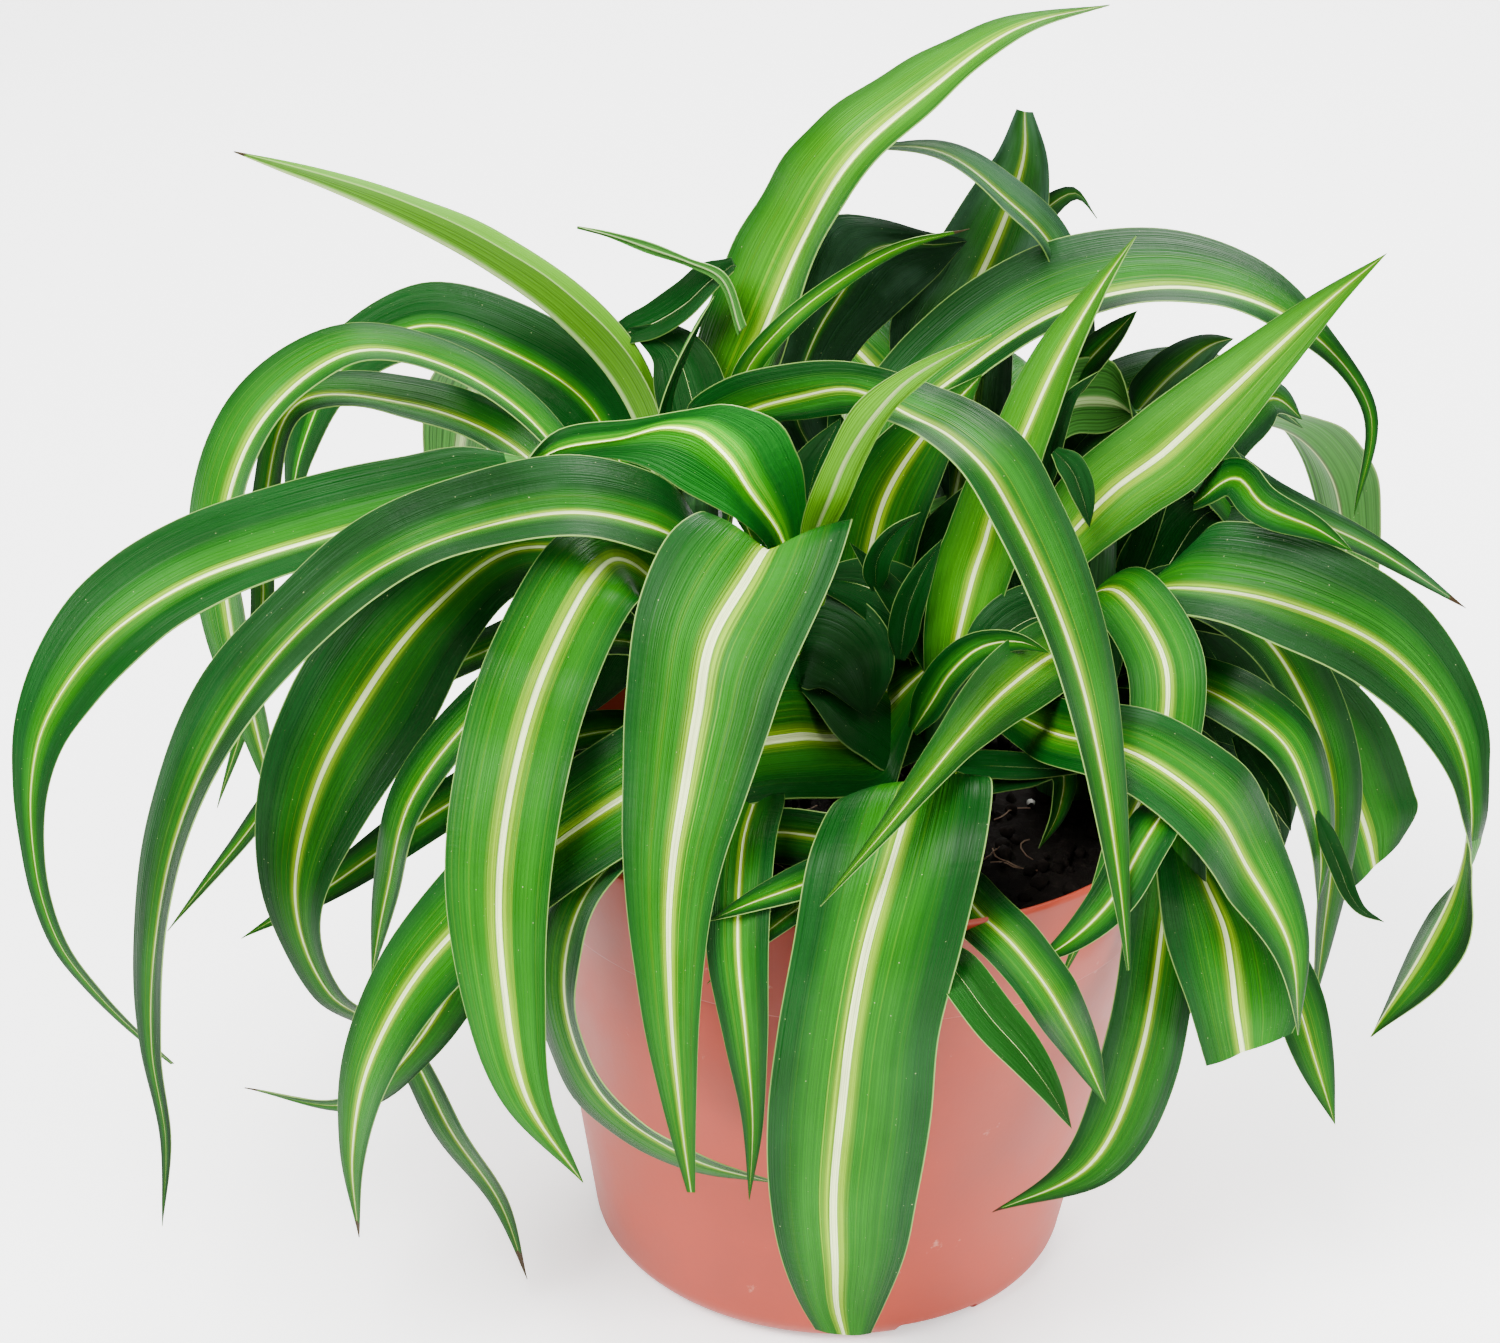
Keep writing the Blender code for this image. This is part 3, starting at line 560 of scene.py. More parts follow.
def lay_coordinates(mesh, rows, columns, across, along, look):
    """Across and along coordinates, stripe width and tone on a leaf's mesh."""
    u = np.tile(np.tile((across + 1) / 2, rows), 2)
    v = np.tile(np.repeat(along * 10 + look["seed"] % 97 * 1.37, columns), 2)
    layer = mesh.uv_layers.new(name="UVMap")
    corner = np.zeros(len(mesh.loops), int)
    mesh.loops.foreach_get("vertex_index", corner)
    layer.data.foreach_set("uv", np.stack([u[corner], v[corner]], -1).reshape(-1))
    share = np.tile(np.repeat(along / along[-1], columns), 2)
    stripe = look["stripe"] * (1.0 + 0.5 * share**2)
    glow = look["glow"] * np.clip(1.0 - share / 0.33, 0.0, 1.0)
    dry = np.clip((share - 1.0 + look["dry"]) / max(look["dry"], 0.001), 0.0, 1.0)
    for name, values in (("stripe", stripe), ("tone", look["tone"] + glow), ("dry", dry)):
        mesh.attributes.new(name, "FLOAT", "POINT").data.foreach_set("value", values)


def route_ribs(route, width, fold):
    """Ribs for a small leaf from (x, y, z) points in millimetres, facing up and forward."""
    points = np.array(route, float) * MM
    knots = np.concatenate([[0.0], np.cumsum(np.linalg.norm(np.diff(points, axis=0), axis=1))])
    along = np.linspace(0.0, knots[-1], 16)
    rib = smoothed(points, knots, along)
    ahead = unit(np.gradient(rib, axis=0))
    side = np.cross(ahead[0], (0.0, -0.6, 0.8))
    sides = []
    for direction in ahead:
        side = unit(side - direction * np.dot(side, direction))
        sides.append(side)
    sides = np.array(sides)
    normals = np.cross(sides, ahead)
    share = along / along[-1]
    rise = np.minimum(share / 0.2, 1.0)
    past = np.maximum(share - SMALL_FULLEST, 0.0) / (1.0 - SMALL_FULLEST)
    half = width / 2 * MM * (0.35 + 0.65 * rise**2 * (3 - 2 * rise)) * (1.0 - past**1.7)
    lift = math.radians(fold)
    out, up = (half * math.cos(lift))[:, None], (half * math.sin(lift))[:, None]
    return rib - sides * out + normals * up, rib, rib + sides * out + normals * up, normals


# Looks of single leaves: finish, stripe share, tone, dried end ---------------------------

YOUNG = ("top_spear", "top_narrow", "centre_spear", "right_spear", "front_striped_point",
         "front_right_low_2")
RIBBED = ("left_spear", "centre_upright")
# Leaves with strong painted sheen: a bluer green and broad grey-green patches that stand in for
# reflected light.
SHEENED_LEAVES = ("back_peak", "back_broad_left", "back_left_thin", "right_back_dark", "back_5",
        "back_left_pointed", "back_lobe", "right_haze", "right_haze_2", "back_right_end")
PLAIN = ("middle_shoot_1", "middle_shoot_2", "middle_tip", "dark_shoot", "sliver_left",
         "back_sprig", "left_curl", "centre_edge", "left_dark_1", "left_dark_2",
         "right_dark_tip", "front_right_low_2")
STRIPES = {"low_inner_broad": 0.03, "front_1": 0.15, "front_2": 0.13, "front_3": 0.10,
           "left_front_long": 0.07, "left_long": 0.07, "right_long": 0.09,
           "right_high_long": 0.09, "centre_spear": 0.15, "right_spear": 0.16,
           "left_low_long": 0.12, "right_front_long": 0.11, "right_front_mid": 0.15,
           "top_spear": 0.14, "left_back_broad": 0.04, "back_broad_left": 0.02,
           "left_high_arch": 0.14, "left_inner_arch": 0.12, "inner_striped": 0.13,
           "right_broad_back": 0.08, "back_5": 0.03}
TONES = {"left_front_long": -0.26, "left_long": 0.04, "front_2": -0.05, "left_back_broad": 0.1,
         "right_high_long": -0.18, "right_front_long": -0.12, "top_spear": 0.2,
         "top_narrow": 0.25, "centre_spear": 0.3, "right_spear": 0.12, "left_high_arch": 0.1,
         "right_long": -0.22, "right_front_mid": 0.1, "back_peak": -0.2, "back_broad_left": -0.25,
         "left_broad_dark": -0.2, "front_1": 0.02, "right_low_broad": 0.05,
         "right_low_long": 0.05}
GLOWS = {"left_long": 3.0, "left_high_arch": 0.9, "left_back_broad": 0.9, "centre_spear": 0.5,
         "top_spear": 0.3, "right_front_long": 0.6, "front_striped_point": 0.4}
TURNED_OVER = {"left_long": (0.0, 0.30), "right_long": (0.69, 1.0)}
DRY_ENDS = {"left_spear": 0.035, "right_back_dark": 0.05, "left_broad_dark": 0.06,
            "left_low_long": 0.04, "right_dark_drop": 0.05, "top_narrow": 0.07,
            "right_low_dark": 0.03, "left_low_curl": 0.04}


# How single blades differ from their solids: (share of length, width factor, turn in degrees).
SHAPES = {
    "left_spear": ((0, 1, 0), (0.45, 1.05, 0), (0.72, 1.45, 5), (1, 1.7, 5)),
    "left_back_broad": ((0, 0.8, -15), (0.4, 0.8, -20), (1, 0.8, -20)),
    "left_high_arch": ((0, 0.5, -20), (0.3, 0.42, -15), (0.45, 0.55, -8), (0.51, 0.8, 0),
                       (0.58, 1.1, 10), (0.8, 1.1, 10), (1, 1.4, 10)),
    "left_inner_arch": ((0, 0.75, 0), (0.5, 0.75, 0), (0.6, 0.45, -25), (0.78, 0.45, -40),
                        (1, 0.8, -10)),
    "top_spear": ((0, 1.3, -10), (0.2, 1.1, 0), (0.45, 1.2, -5), (0.75, 1.45, -8), (0.9, 1.05, 0),
                  (1, 1, 0)),
    "top_narrow": ((0, 0.7, -10), (0.5, 0.72, -25), (0.8, 0.75, -20), (1, 1, 0)),
    "left_long": ((0, 1.2, 0), (0.1, 1.15, 0), (0.15, 0.95, 0), (0.21, 0.65, 0), (0.27, 0.5, 20),
                  (0.38, 0.9, 35), (0.45, 1.1, 40), (0.6, 1.05, 35), (0.7, 0.5, 0),
                  (0.78, 0.3, 0), (1, 0.6, 20)),
    "left_front_long": ((0, 1, 5), (0.37, 0.9, 0), (0.47, 0.7, -12), (0.57, 1, 0),
                        (0.75, 0.8, -5), (0.85, 0.4, -30), (1, 0.5, -30)),
    "left_broad_dark": ((0, 0.45, -50), (0.23, 0.55, -30), (0.31, 0.7, -12), (0.4, 0.95, -5),
                        (0.5, 0.85, -15), (0.55, 0.65, -20), (0.6, 0.4, -20), (0.68, 0.3, -20),
                        (0.76, 0.45, -5), (0.85, 0.9, 5), (1, 0.6, -10)),
    "left_low_striped": ((0, 0.8, -25), (0.4, 0.65, -25), (0.75, 0.8, -45), (1, 0.8, 0)),
    "left_mid_narrow": ((0, 0.55, -35), (0.5, 0.68, -15), (0.75, 1.15, 10), (1, 1.6, 15)),
    "left_low_curl": ((0, 0.8, 20), (0.35, 0.75, 35), (0.6, 1, 5), (1, 0.7, 0)),
    "front_1": ((0, 0.7, -45), (0.2, 0.75, -40), (0.35, 0.92, -12), (0.55, 1, -5),
                (0.75, 1.15, -5), (1, 1.6, 20)),
    "front_2": ((0, 1.3, 10), (0.2, 1.35, 30), (0.28, 1.35, 35), (0.38, 1.15, 50),
                (0.52, 0.9, 50), (0.66, 0.75, 30), (1, 0.7, 30)),
    "right_front_long": ((0, 0.8, 30), (0.14, 1.3, 0), (0.2, 1.6, -20), (0.25, 1.4, -20),
                         (0.34, 0.8, -10), (0.42, 0.9, -8), (0.52, 1.25, -18), (0.7, 1.2, -15),
                         (0.8, 1, -8), (0.92, 0.6, 20), (1, 0.6, 20)),
    "front_low_curl": ((0, 0.6, -20), (0.3, 0.55, -15), (0.4, 0.9, 5), (0.5, 1.3, 15),
                       (0.7, 1.65, 20), (1, 1.9, 25)),
    "front_hanging": ((0, 0.95, -8), (0.6, 1, -5), (0.82, 0.75, -15), (1, 0.75, -15)),
    "left_low_long": ((0, 1.2, 10), (0.08, 1.5, 10), (0.18, 1.15, -5), (0.4, 0.8, -10),
                      (0.7, 0.9, 0), (1, 1, 0)),
    "front_striped_point": ((0, 0.85, -20), (0.4, 0.9, -15), (0.61, 0.65, -15), (1, 0.7, 0)),
    "centre_spear": ((0, 1.4, -20), (0.12, 1.5, -35), (0.23, 1.35, -45), (0.32, 1.05, -40),
                     (0.53, 0.85, -35), (0.75, 1.3, -50), (1, 1.5, -60)),
    "right_low_long": ((0, 0.85, 15), (0.32, 0.65, 25), (0.5, 0.95, -12), (0.64, 1.25, -28),
                       (0.85, 1.35, -38), (1, 1.7, -50)),
    "front_right_low_1": ((0, 0.8, 0), (0.4, 0.8, -15), (0.66, 0.95, -28), (1, 1.5, -25)),
    "front_low_band": ((0, 0.8, 5), (0.6, 1.1, -5), (1, 1.8, -20)),
    "front_low_tip_2": ((0, 0.5, -30), (0.42, 0.55, -30), (1, 1.1, -5)),
    "right_spear": ((0, 1.6, -20), (0.2, 1.45, -28), (0.3, 1.15, -32), (0.64, 0.9, -30),
                    (1, 0.75, -30)),
    "right_long": ((0, 1.6, -30), (0.1, 1.5, -50), (0.2, 1.1, -48), (0.3, 0.9, -35),
                   (0.45, 0.7, -18), (0.56, 0.5, -5), (0.63, 0.3, 0), (0.68, 0.4, -20),
                   (0.66, 0.45, -35), (0.72, 0.45, -35), (0.8, 1.2, -58), (0.9, 1.5, -58),
                   (1, 1.4, -55)),
    "right_dark_arc": ((0, 0.85, 20), (0.4, 0.9, 32), (0.55, 0.95, 22), (0.75, 1.4, 0),
                       (1, 1.6, 0)),
    "right_mid": ((0, 1.2, 5), (0.3, 0.85, 5), (0.5, 0.9, 0), (0.7, 1.1, -10), (1, 1.1, -5)),
    "right_low_tip": ((0, 0.95, 30), (0.5, 0.88, 25), (0.7, 0.95, 18), (0.83, 1.35, 0),
                      (1, 1.4, 0)),
    "right_low_dark": ((0, 0.75, 15), (0.4, 0.8, 15), (0.64, 1.1, -10), (0.76, 1.6, -30),
                       (0.88, 1.45, 0), (1, 1, 0)),
    "right_front_mid": ((0, 0.9, 30), (0.3, 0.87, 8), (0.55, 0.95, -5), (0.72, 0.9, -18),
                        (0.83, 0.55, 0), (1, 0.55, 0)),
    "right_high_long": ((0, 0.75, 10), (0.2, 0.75, 5), (0.26, 0.8, -35), (0.33, 1.1, -50),
                        (0.56, 1.25, -50), (0.67, 1.15, -45), (0.73, 0.7, -30), (0.79, 0.3, -5),
                        (0.87, 0.3, 20), (1, 0.6, 30)),
    "back_left_pointed": ((0, 0.7, -15), (0.5, 0.8, -8), (0.62, 1.4, 15), (0.8, 1.8, 20),
                          (1, 1.2, 25)),
    "right_back_dark": ((0, 0.6, 25), (0.6, 0.7, 18), (0.75, 0.9, 0), (1, 1.2, 0)),
}

# How far single midribs lie from their solids: (share of length, x, y, z in millimetres).
SHIFTS = {
    "right_low_dark": ((0, 0, 0, 0), (0.25, 0, 3, -1.5), (0.35, 0, 8, -4.4), (0.62, 0, 8, -4.4),
                       (0.75, 0, 3, -1.7), (0.85, 0, 0, 0), (1, 0, 0, 0)),
    "centre_spear": ((0, -8.5, 0, -12), (0.05, -9, 0, -10), (0.1, -8.5, 0, -6), (0.15, -7, 0, -3),
                     (0.2, -3.5, 0, -1), (0.27, 0, 0, 0), (1, 0, 0, 0)),
    "front_2": ((0, 0, 0, 4), (0.12, 0, 0, 5), (0.2, -1, 0, 9), (0.25, 0.5, 0, 12),
                (0.3, 2, 0, 10), (0.35, 4, 0, 9.5), (0.4, 3, 0, 6.5), (0.5, 1, 0, 1),
                (0.6, 0, 0, 0), (1, 0, 0, 0)),
    "front_right_low_1": ((0, 0, 0, 0), (0.2, -2, 0, 0), (0.3, -3.5, 0, -1), (0.4, -3, 0, -5.5),
                          (0.5, -2, 0, -7.5), (0.6, 0, 0, -6), (0.7, 0, 0, -2), (1, 0, 0, 0)),
    "left_front_long": ((0, 0, 0, 6), (0.05, 3, 0, 5), (0.1, 4, 0, 4.5), (0.15, 3.5, 0, 2),
                        (0.25, 0, 0, 0), (1, 0, 0, 0)),
    "left_long": ((0, 10.5, 0, 7), (0.05, 11, 0, 7.5), (0.1, 6.5, 0, 3), (0.15, -1, 0, 0),
                  (0.22, 0, 0, 0), (1, 0, 0, 0)),
    "right_spear": ((0, -17.5, 0, -5), (0.1, -15.5, 0, -2), (0.15, -13, 0, -1),
                    (0.2, -8, 0, -1.5), (0.25, -2.5, 0, -2.5), (0.32, 0, 0, -1), (0.4, 0, 0, 0),
                    (1, 0, 0, 0)),
}

# Stretches with their own shape, before the solid's lines take over at a share of its length:
# rings of (left edge, midrib, right edge) in millimetres.
RINGS = {
    "front_2": (0.36, (
        ((-21, -8, 126.5), (-18, -8, 126), (-15, -8, 125.5)),
        ((-19.5, -10.5, 130.5), (-15.5, -10.5, 130), (-11.5, -10.5, 129)),
        ((-19.5, -13, 138.5), (-13, -13, 133.5), (-8.5, -13, 136)),
        ((-25.5, -22, 154), (-15.5, -22, 146), (-3.5, -22, 152)),
        ((-28, -29, 159.5), (-17, -29, 151.5), (-2.5, -29, 158.5)),
        ((-32.5, -35, 158.5), (-20, -35, 149), (-5, -34, 151.5)))),
    "left_long": (0.33, (
        ((-15, -2, 138), (-12.5, -2, 138), (-9.5, -2, 141)),
        ((-17, -8, 144.5), (-15, -8, 147), (-10, -8, 153)),
        ((-21, -12, 150), (-20.5, -12, 156.5), (-12, -12, 163.5)),
        ((-25.5, -13, 153), (-25, -13, 164), (-17, -13, 170.5)),
        ((-31, -12, 155.5), (-28.5, -12, 167), (-24, -12, 172)),
        ((-36, -10, 158), (-33.5, -10, 167), (-30.5, -10, 170)),
        ((-44, -8, 159.5), (-42, -8, 163.5), (-40, -8, 167)),
        ((-52.5, -8, 158), (-53, -8, 161), (-53, -8, 164.5)))),
    "right_front_long": (0.40, (
        ((-16, 6, 137.5), (-19, 6, 138.5), (-22, 6, 142.5)),
        ((-21.5, 4, 152), (-25, 4, 155), (-29.5, 4, 160)),
        ((-21, 2, 159.5), (-25, 2, 162.5), (-31, 2, 166)),
        ((-17, -1, 164), (-20, -1, 166.5), (-25, -1, 172)),
        ((-10.5, -4, 166.5), (-12, -4, 170.5), (-14.5, -4, 176.5)),
        ((-3, -8, 169.5), (-3.5, -8, 174), (-3.5, -8, 179)))),
    "centre_upright": (WHOLE, (
        ((-16, -6, 129.5), (-13, -6, 130), (-10, -6, 130.5)),
        ((-14.5, -9.5, 132.5), (-10.5, -9.5, 133), (-6.5, -9.5, 133.5)),
        ((-10.5, -13, 136), (-8, -13, 136), (-6, -13, 136.5)),
        ((-11, -18, 150.5), (-8.5, -18, 150.5), (-6, -18, 150)),
        ((-9.5, -22, 160.5), (-6, -22, 160.5), (-3, -22, 159.5)),
        ((-7, -24, 168.5), (-4, -24, 167.5), (-0.5, -24, 168)),
        ((-2.5, -27, 179.5), (0.5, -27, 177), (3.5, -27, 178)),
        ((4, -28, 185.5), (5.5, -28, 184), (7.5, -28, 183)),
        ((12, -28, 190), (12.5, -28, 189), (13.5, -28, 188.5)),
        ((19, -27, 192.5), (19, -27, 192.5), (19, -27, 192)))),
    "right_dark_arc": (0.50, (
        ((35, 22, 143.5), (31, 22, 145), (27, 22, 148)),
        ((35.5, 25, 150), (32.5, 25, 153.5), (27, 25, 160.5)),
        ((39, 27, 152.5), (37.5, 27, 158), (34.5, 27, 166)),
        ((44.5, 28, 152.5), (44, 28, 158.5), (44, 28, 167)))),
    "back_left_thin": (WHOLE, (
        ((-21.5, 20, 174), (-22.5, 20, 173), (-23, 20, 172)),
        ((-26, 24, 182.5), (-26.5, 24, 181.5), (-27, 24, 180.5)),
        ((-32, 26, 184), (-32.5, 26, 183.5), (-32.5, 26, 182.5)),
        ((-39, 28, 186), (-39.5, 28, 185), (-40, 28, 184)),
        ((-46.5, 30, 187), (-46.5, 30, 186.5), (-47, 30, 186)),
        ((-52, 31, 187.5), (-52.5, 31, 187.5), (-52.5, 31, 187)))),
    "back_broad_left": (WHOLE, (
        ((5, 45, 115.5), (8, 45, 116), (11, 45, 116.5)),
        ((-6, 42.5, 132.5), (-2, 42.5, 133), (2, 42.5, 133.5)),
        ((-17.5, 40, 149.5), (-12, 40, 150), (-5.5, 40, 151)),
        ((-15.5, 46, 163), (-9, 46, 162), (0, 46, 160.5)),
        ((-12, 50, 175), (-4, 50, 170), (5.5, 50, 165)),
        ((-6.5, 53, 183.5), (1, 53, 177), (10, 53, 168.5)),
        ((2.5, 55, 182.5), (7, 55, 178), (13.5, 55, 171.5)),
        ((11, 56, 180), (13, 56, 177.5), (16, 56, 174.5)),
        ((18.5, 57, 178.5), (19, 57, 178), (19, 57, 178)))),
    "back_peak": (WHOLE, (
        ((12, 45, 130), (15, 45, 130), (18, 45, 130)),
        ((10, 45.5, 135.5), (14, 45.5, 136), (17.5, 45.5, 136.5)),
        ((9, 46, 142), (12.5, 46, 142), (16.5, 46, 142.5)),
        ((5.5, 50, 156.5), (12, 50, 154.5), (19, 50, 153)),
        ((5.5, 54, 163.5), (15.5, 54, 161.5), (24, 54, 160.5)),
        ((10.5, 58, 171.5), (21, 58, 169), (29.5, 58, 166.5)),
        ((15.5, 61, 180), (25, 61, 178), (33.5, 61, 177.5)),
        ((19.5, 63, 186.5), (27.5, 63, 185.5), (34, 63, 186)),
        ((24, 64, 193.5), (29, 64, 193.5), (33, 64, 193.5)),
        ((27, 65, 201.5), (28.5, 65, 201), (30, 65, 201)))),
    "front_3": (WHOLE, (
        ((20.5, -10, 96.5), (17, -10, 96.5), (13.5, -10, 95.5)),
        ((20.5, -35, 113.5), (12, -35, 112), (2.5, -35, 109.5)),
        ((22.5, -50, 121), (9.5, -50, 119), (-4, -50, 116)),
        ((21.5, -60, 117), (6.5, -60, 113.5), (-7.5, -60, 113)),
        ((18, -68, 100.5), (2, -68, 99), (-10, -68, 98.5)),
        ((15, -71, 85), (0, -71, 84), (-12, -71, 83.5)),
        ((14.5, -72, 69), (-1, -72, 68.5), (-13, -72, 68)),
        ((13, -72, 52.5), (-1.5, -72, 51.5), (-12, -72, 51)),
        ((11.5, -71, 39.5), (-0.5, -71, 38), (-9.5, -71, 38)),
        ((8.5, -70, 28), (0.5, -70, 26.5), (-5.5, -70, 27)),
        ((6.5, -70, 22), (2, -70, 21.5), (-3, -70, 22.5)))),
    "right_low_broad": (WHOLE, (
        ((56, 0, 99.5), (51.5, -8, 100.5), (47.5, -14, 101)),
        ((66, -16, 91), (58.5, -28, 98.5), (52, -34, 103)),
        ((71.5, -26, 88.5), (62, -35, 94), (53, -39, 96.5)),
        ((76.5, -30, 82.5), (65.5, -37, 87), (54.5, -41, 89)),
        ((79.5, -33, 76.5), (67, -40, 80), (57, -43, 82)),
        ((81, -36, 71.5), (68, -42, 73.5), (60, -44, 74.5)),
        ((79, -40, 68), (70, -43, 65.5), (64, -44, 63)))),
    "right_broad_back": (WHOLE, (
        ((49, 16, 118.5), (48.5, 16, 116), (48, 16, 113.5)),
        ((62.5, 19, 126), (62, 19, 121), (61.5, 19, 115.5)),
        ((79, 18, 120.5), (75.5, 18, 115), (74, 18, 109.5)),
        ((92.5, 15, 110.5), (85.5, 15, 107), (81.5, 15, 101)),
        ((99.5, 13, 103), (90.5, 13, 98), (86, 13, 93)),
        ((105.5, 12, 90), (94.5, 12, 88), (89.5, 12, 84.5)),
        ((106.5, 11, 85), (98, 11, 79.5), (93, 11, 76.5)),
        ((104, 11, 78.5), (100, 11, 73.5), (96.5, 11, 68.5)))),
}

# Small leaves: width in millimetres, fold in degrees, and points along the midrib.
SMALL_LEAVES = {
    "front_low_tip_1": (8, 25, ((8, -46, 106), (1, -54, 107), (-11, -62, 106), (-17, -65, 105),
                                (-24, -66, 102))),
    "front_right_low_2": (9, 25, ((13, -58, 95), (18, -66, 93), (23, -70, 88), (29, -72, 82),
                                  (33, -73, 77), (38, -74, 69))),
    "right_front_dark": (9, 20, ((54, -40, 114), (48, -52, 111), (43, -58, 104), (36, -62, 98),
                                 (30, -63, 94))),
    "sliver_left": (4, 20, ((-22, 6, 128), (-33, 3, 146), (-36, 0, 160), (-33, 0, 174),
                            (-30, 0, 181), (-27, 0, 187))),
    "back_sprig": (4, 20, ((32, 10, 147), (33, 8, 155), (34, 6, 163), (36, 4, 170),
                           (40, 2, 175))),
    "back_striped": (7, 20, ((36, 30, 158), (41, 28, 167), (45, 26, 173), (48, 24, 178))),
    "right_point": (8, 20, ((60, 12, 146), (67, 5, 154), (70, 0, 152), (80, -4, 149),
                            (86, -6, 146))),
    "centre_curl": (8, 30, ((11, -12, 111), (14, -14, 118), (17, -16, 125), (22, -18, 131),
                            (28, -20, 133), (33, -22, 132))),
    "centre_edge": (6, 20, ((18, -8, 102), (24, -10, 103), (34, -14, 105), (42, -18, 107))),
    "centre_cup": (7, 20, ((20, -6, 96), (25, -8, 99), (32, -12, 103), (37, -14, 105),
                           (37, -16, 98), (34, -18, 91))),
    "front_low_sliver": (4, 20, ((-10, -56, 102), (-17, -58, 100), (-24, -58, 97))),
    "middle_tip": (5, 20, ((3, -3, 134), (3, -5, 141), (6, -6, 147), (10, -7, 151))),
    "middle_shoot_1": (6, 20, ((15, 0, 115), (11, -1, 125), (5, -2, 134), (-2, -3, 143))),
    "middle_shoot_2": (6, 20, ((8, -4, 121), (9, -5, 132), (11, -6, 139), (14, -7, 146))),
    "dark_shoot": (6, 25, ((33, 1, 160), (36, 0, 157), (38, -1, 153), (40, -2, 147))),
    "inner_striped": (17, 15, ((1, 12, 121), (2, 12, 133), (5, 10, 148), (11, 8, 160),
                               (20, 6, 172))),
    "inner_dark_1": (14, 20, ((10, 14, 114), (11, 13, 125), (15, 12, 136), (22, 10, 152))),
    "inner_dark_2": (14, 20, ((15, 6, 116), (9, 5, 126), (0, 3, 132), (-10, 0, 134))),
    "inner_dark_3": (16, 20, ((12, 22, 98), (9, 25, 110), (5, 30, 124), (-2, 32, 142),
                              (-6, 34, 155))),
    "inner_dark_4": (14, 20, ((43, 20, 114), (47, 24, 129), (53, 26, 144), (61, 26, 155))),
    "inner_dark_5": (15, 20, ((42, 28, 119), (41, 34, 132), (37, 38, 147), (33, 40, 160))),
    "inner_dark_6": (15, 20, ((-12, 10, 121), (-10, 16, 134), (-8, 20, 147), (-4, 22, 156))),
    "inner_dark_7": (13, 20, ((40, -4, 126), (32, -6, 131), (25, -8, 127), (20, -10, 116))),
    "inner_right_1": (13, 20, ((49, 12, 118), (57, 10, 128), (68, 8, 127), (79, 6, 115))),
    "back_lobe": (15, 15, ((14, 30, 106), (21, 52, 142), (26, 66, 169), (33, 68, 180),
                           (39, 69, 184), (44, 69, 179))),
    "right_haze": (12, 15, ((64, 40, 141), (71, 44, 149), (77, 46, 153), (83, 46, 149))),
    "right_haze_2": (10, 15, ((51, 44, 149), (59, 46, 158), (66, 48, 163), (69, 48, 164))),
    "left_curl": (9, 20, ((-24, 26, 183), (-28, 28, 179), (-32, 30, 174), (-38, 32, 169),
                          (-44, 32, 166), (-46, 31, 164), (-45, 30, 158))),
    "inner_low_1": (22, 15, ((-4, 10, 103), (-3, 13, 114), (2, 16, 125), (9, 18, 133))),
    "inner_low_3": (20, 15, ((21, 4, 109), (18, 9, 121), (13, 13, 131), (7, 18, 141))),
    "inner_low_4": (20, 15, ((39, 16, 112), (35, 20, 122), (30, 24, 130), (26, 28, 138))),
    "inner_right_2": (18, 15, ((53, 20, 119), (58, 22, 130), (64, 24, 139), (76, 26, 140))),
    "inner_left_1": (22, 15, ((-24, 6, 121), (-33, 4, 125), (-42, 0, 121), (-48, -6, 108))),
    "inner_front_1": (20, 15, ((-13, 2, 117), (-7, 0, 122), (-1, -3, 120), (3, -8, 111))),
    "inner_front_2": (20, 15, ((27, 0, 113), (32, 2, 121), (41, 2, 121), (46, -2, 113))),
    "low_inner_broad": (30, 10, ((16, 4, 102), (5, 2, 112), (-5, 0, 118), (-16, -3, 121))),
    "inner_right_5": (20, 20, ((48, 0, 98), (54, -4, 101), (62, -6, 98), (67, -8, 89))),
    "inner_right_6": (22, 10, ((62, 14, 121), (69, 12, 111), (76, 9, 96), (82, 7, 79))),
    "inner_right_3": (16, 15, ((43, 6, 101), (49, 8, 108), (54, 10, 115), (62, 12, 118))),
    "inner_right_4": (6, 20, ((69, -4, 108), (73, -6, 103), (77, -8, 98), (80, -10, 92))),
    "right_dark_tip": (4, 15, ((83, -15, 99), (88, -18, 89), (90, -20, 85), (92, -22, 83),
                               (96, -24, 82))),
    "left_dark_1": (14, 20, ((-29, 20, 146), (-31, 26, 157), (-35, 30, 165), (-43, 32, 168))),
    "left_dark_2": (10, 20, ((-43, 2, 143), (-53, -2, 143), (-63, -6, 138), (-74, -10, 124))),
}


def leaf_look(name, order):
    """Finish and small differences of one leaf."""
    chance = random.Random(order * 7919 + 13)
    tone = chance.uniform(-0.08, 0.08)
    if name in TONES:
        tone = TONES[name]
    # Painted shade: leaves at the back and inside the plant, and those named dark, are made darker
    # where the plant's own shade falls on them.
    elif name.startswith(("back", "inner")) or "dark" in name:
        tone -= 0.15
    stripe = STRIPES.get(name, 0.001 if name.startswith("inner_") or name in PLAIN else 0.10)
    return {"seed": order * 31 + 5, "stripe": stripe, "tone": tone,
            "wave": chance.uniform(0.05, 0.16) * MM, "crease": 0.12,
            "shape": SHAPES.get(name, ((0, 1, 0), (1, 1, 0))), "shift": SHIFTS.get(name),
            "rings": RINGS.get(name), "dry": DRY_ENDS.get(name, 0.0),
            "glow": GLOWS.get(name, 0.15), "turned_over": TURNED_OVER.get(name, (2.0, 2.0))}


# Pot and soil shapes --------------------------------------------------------------------


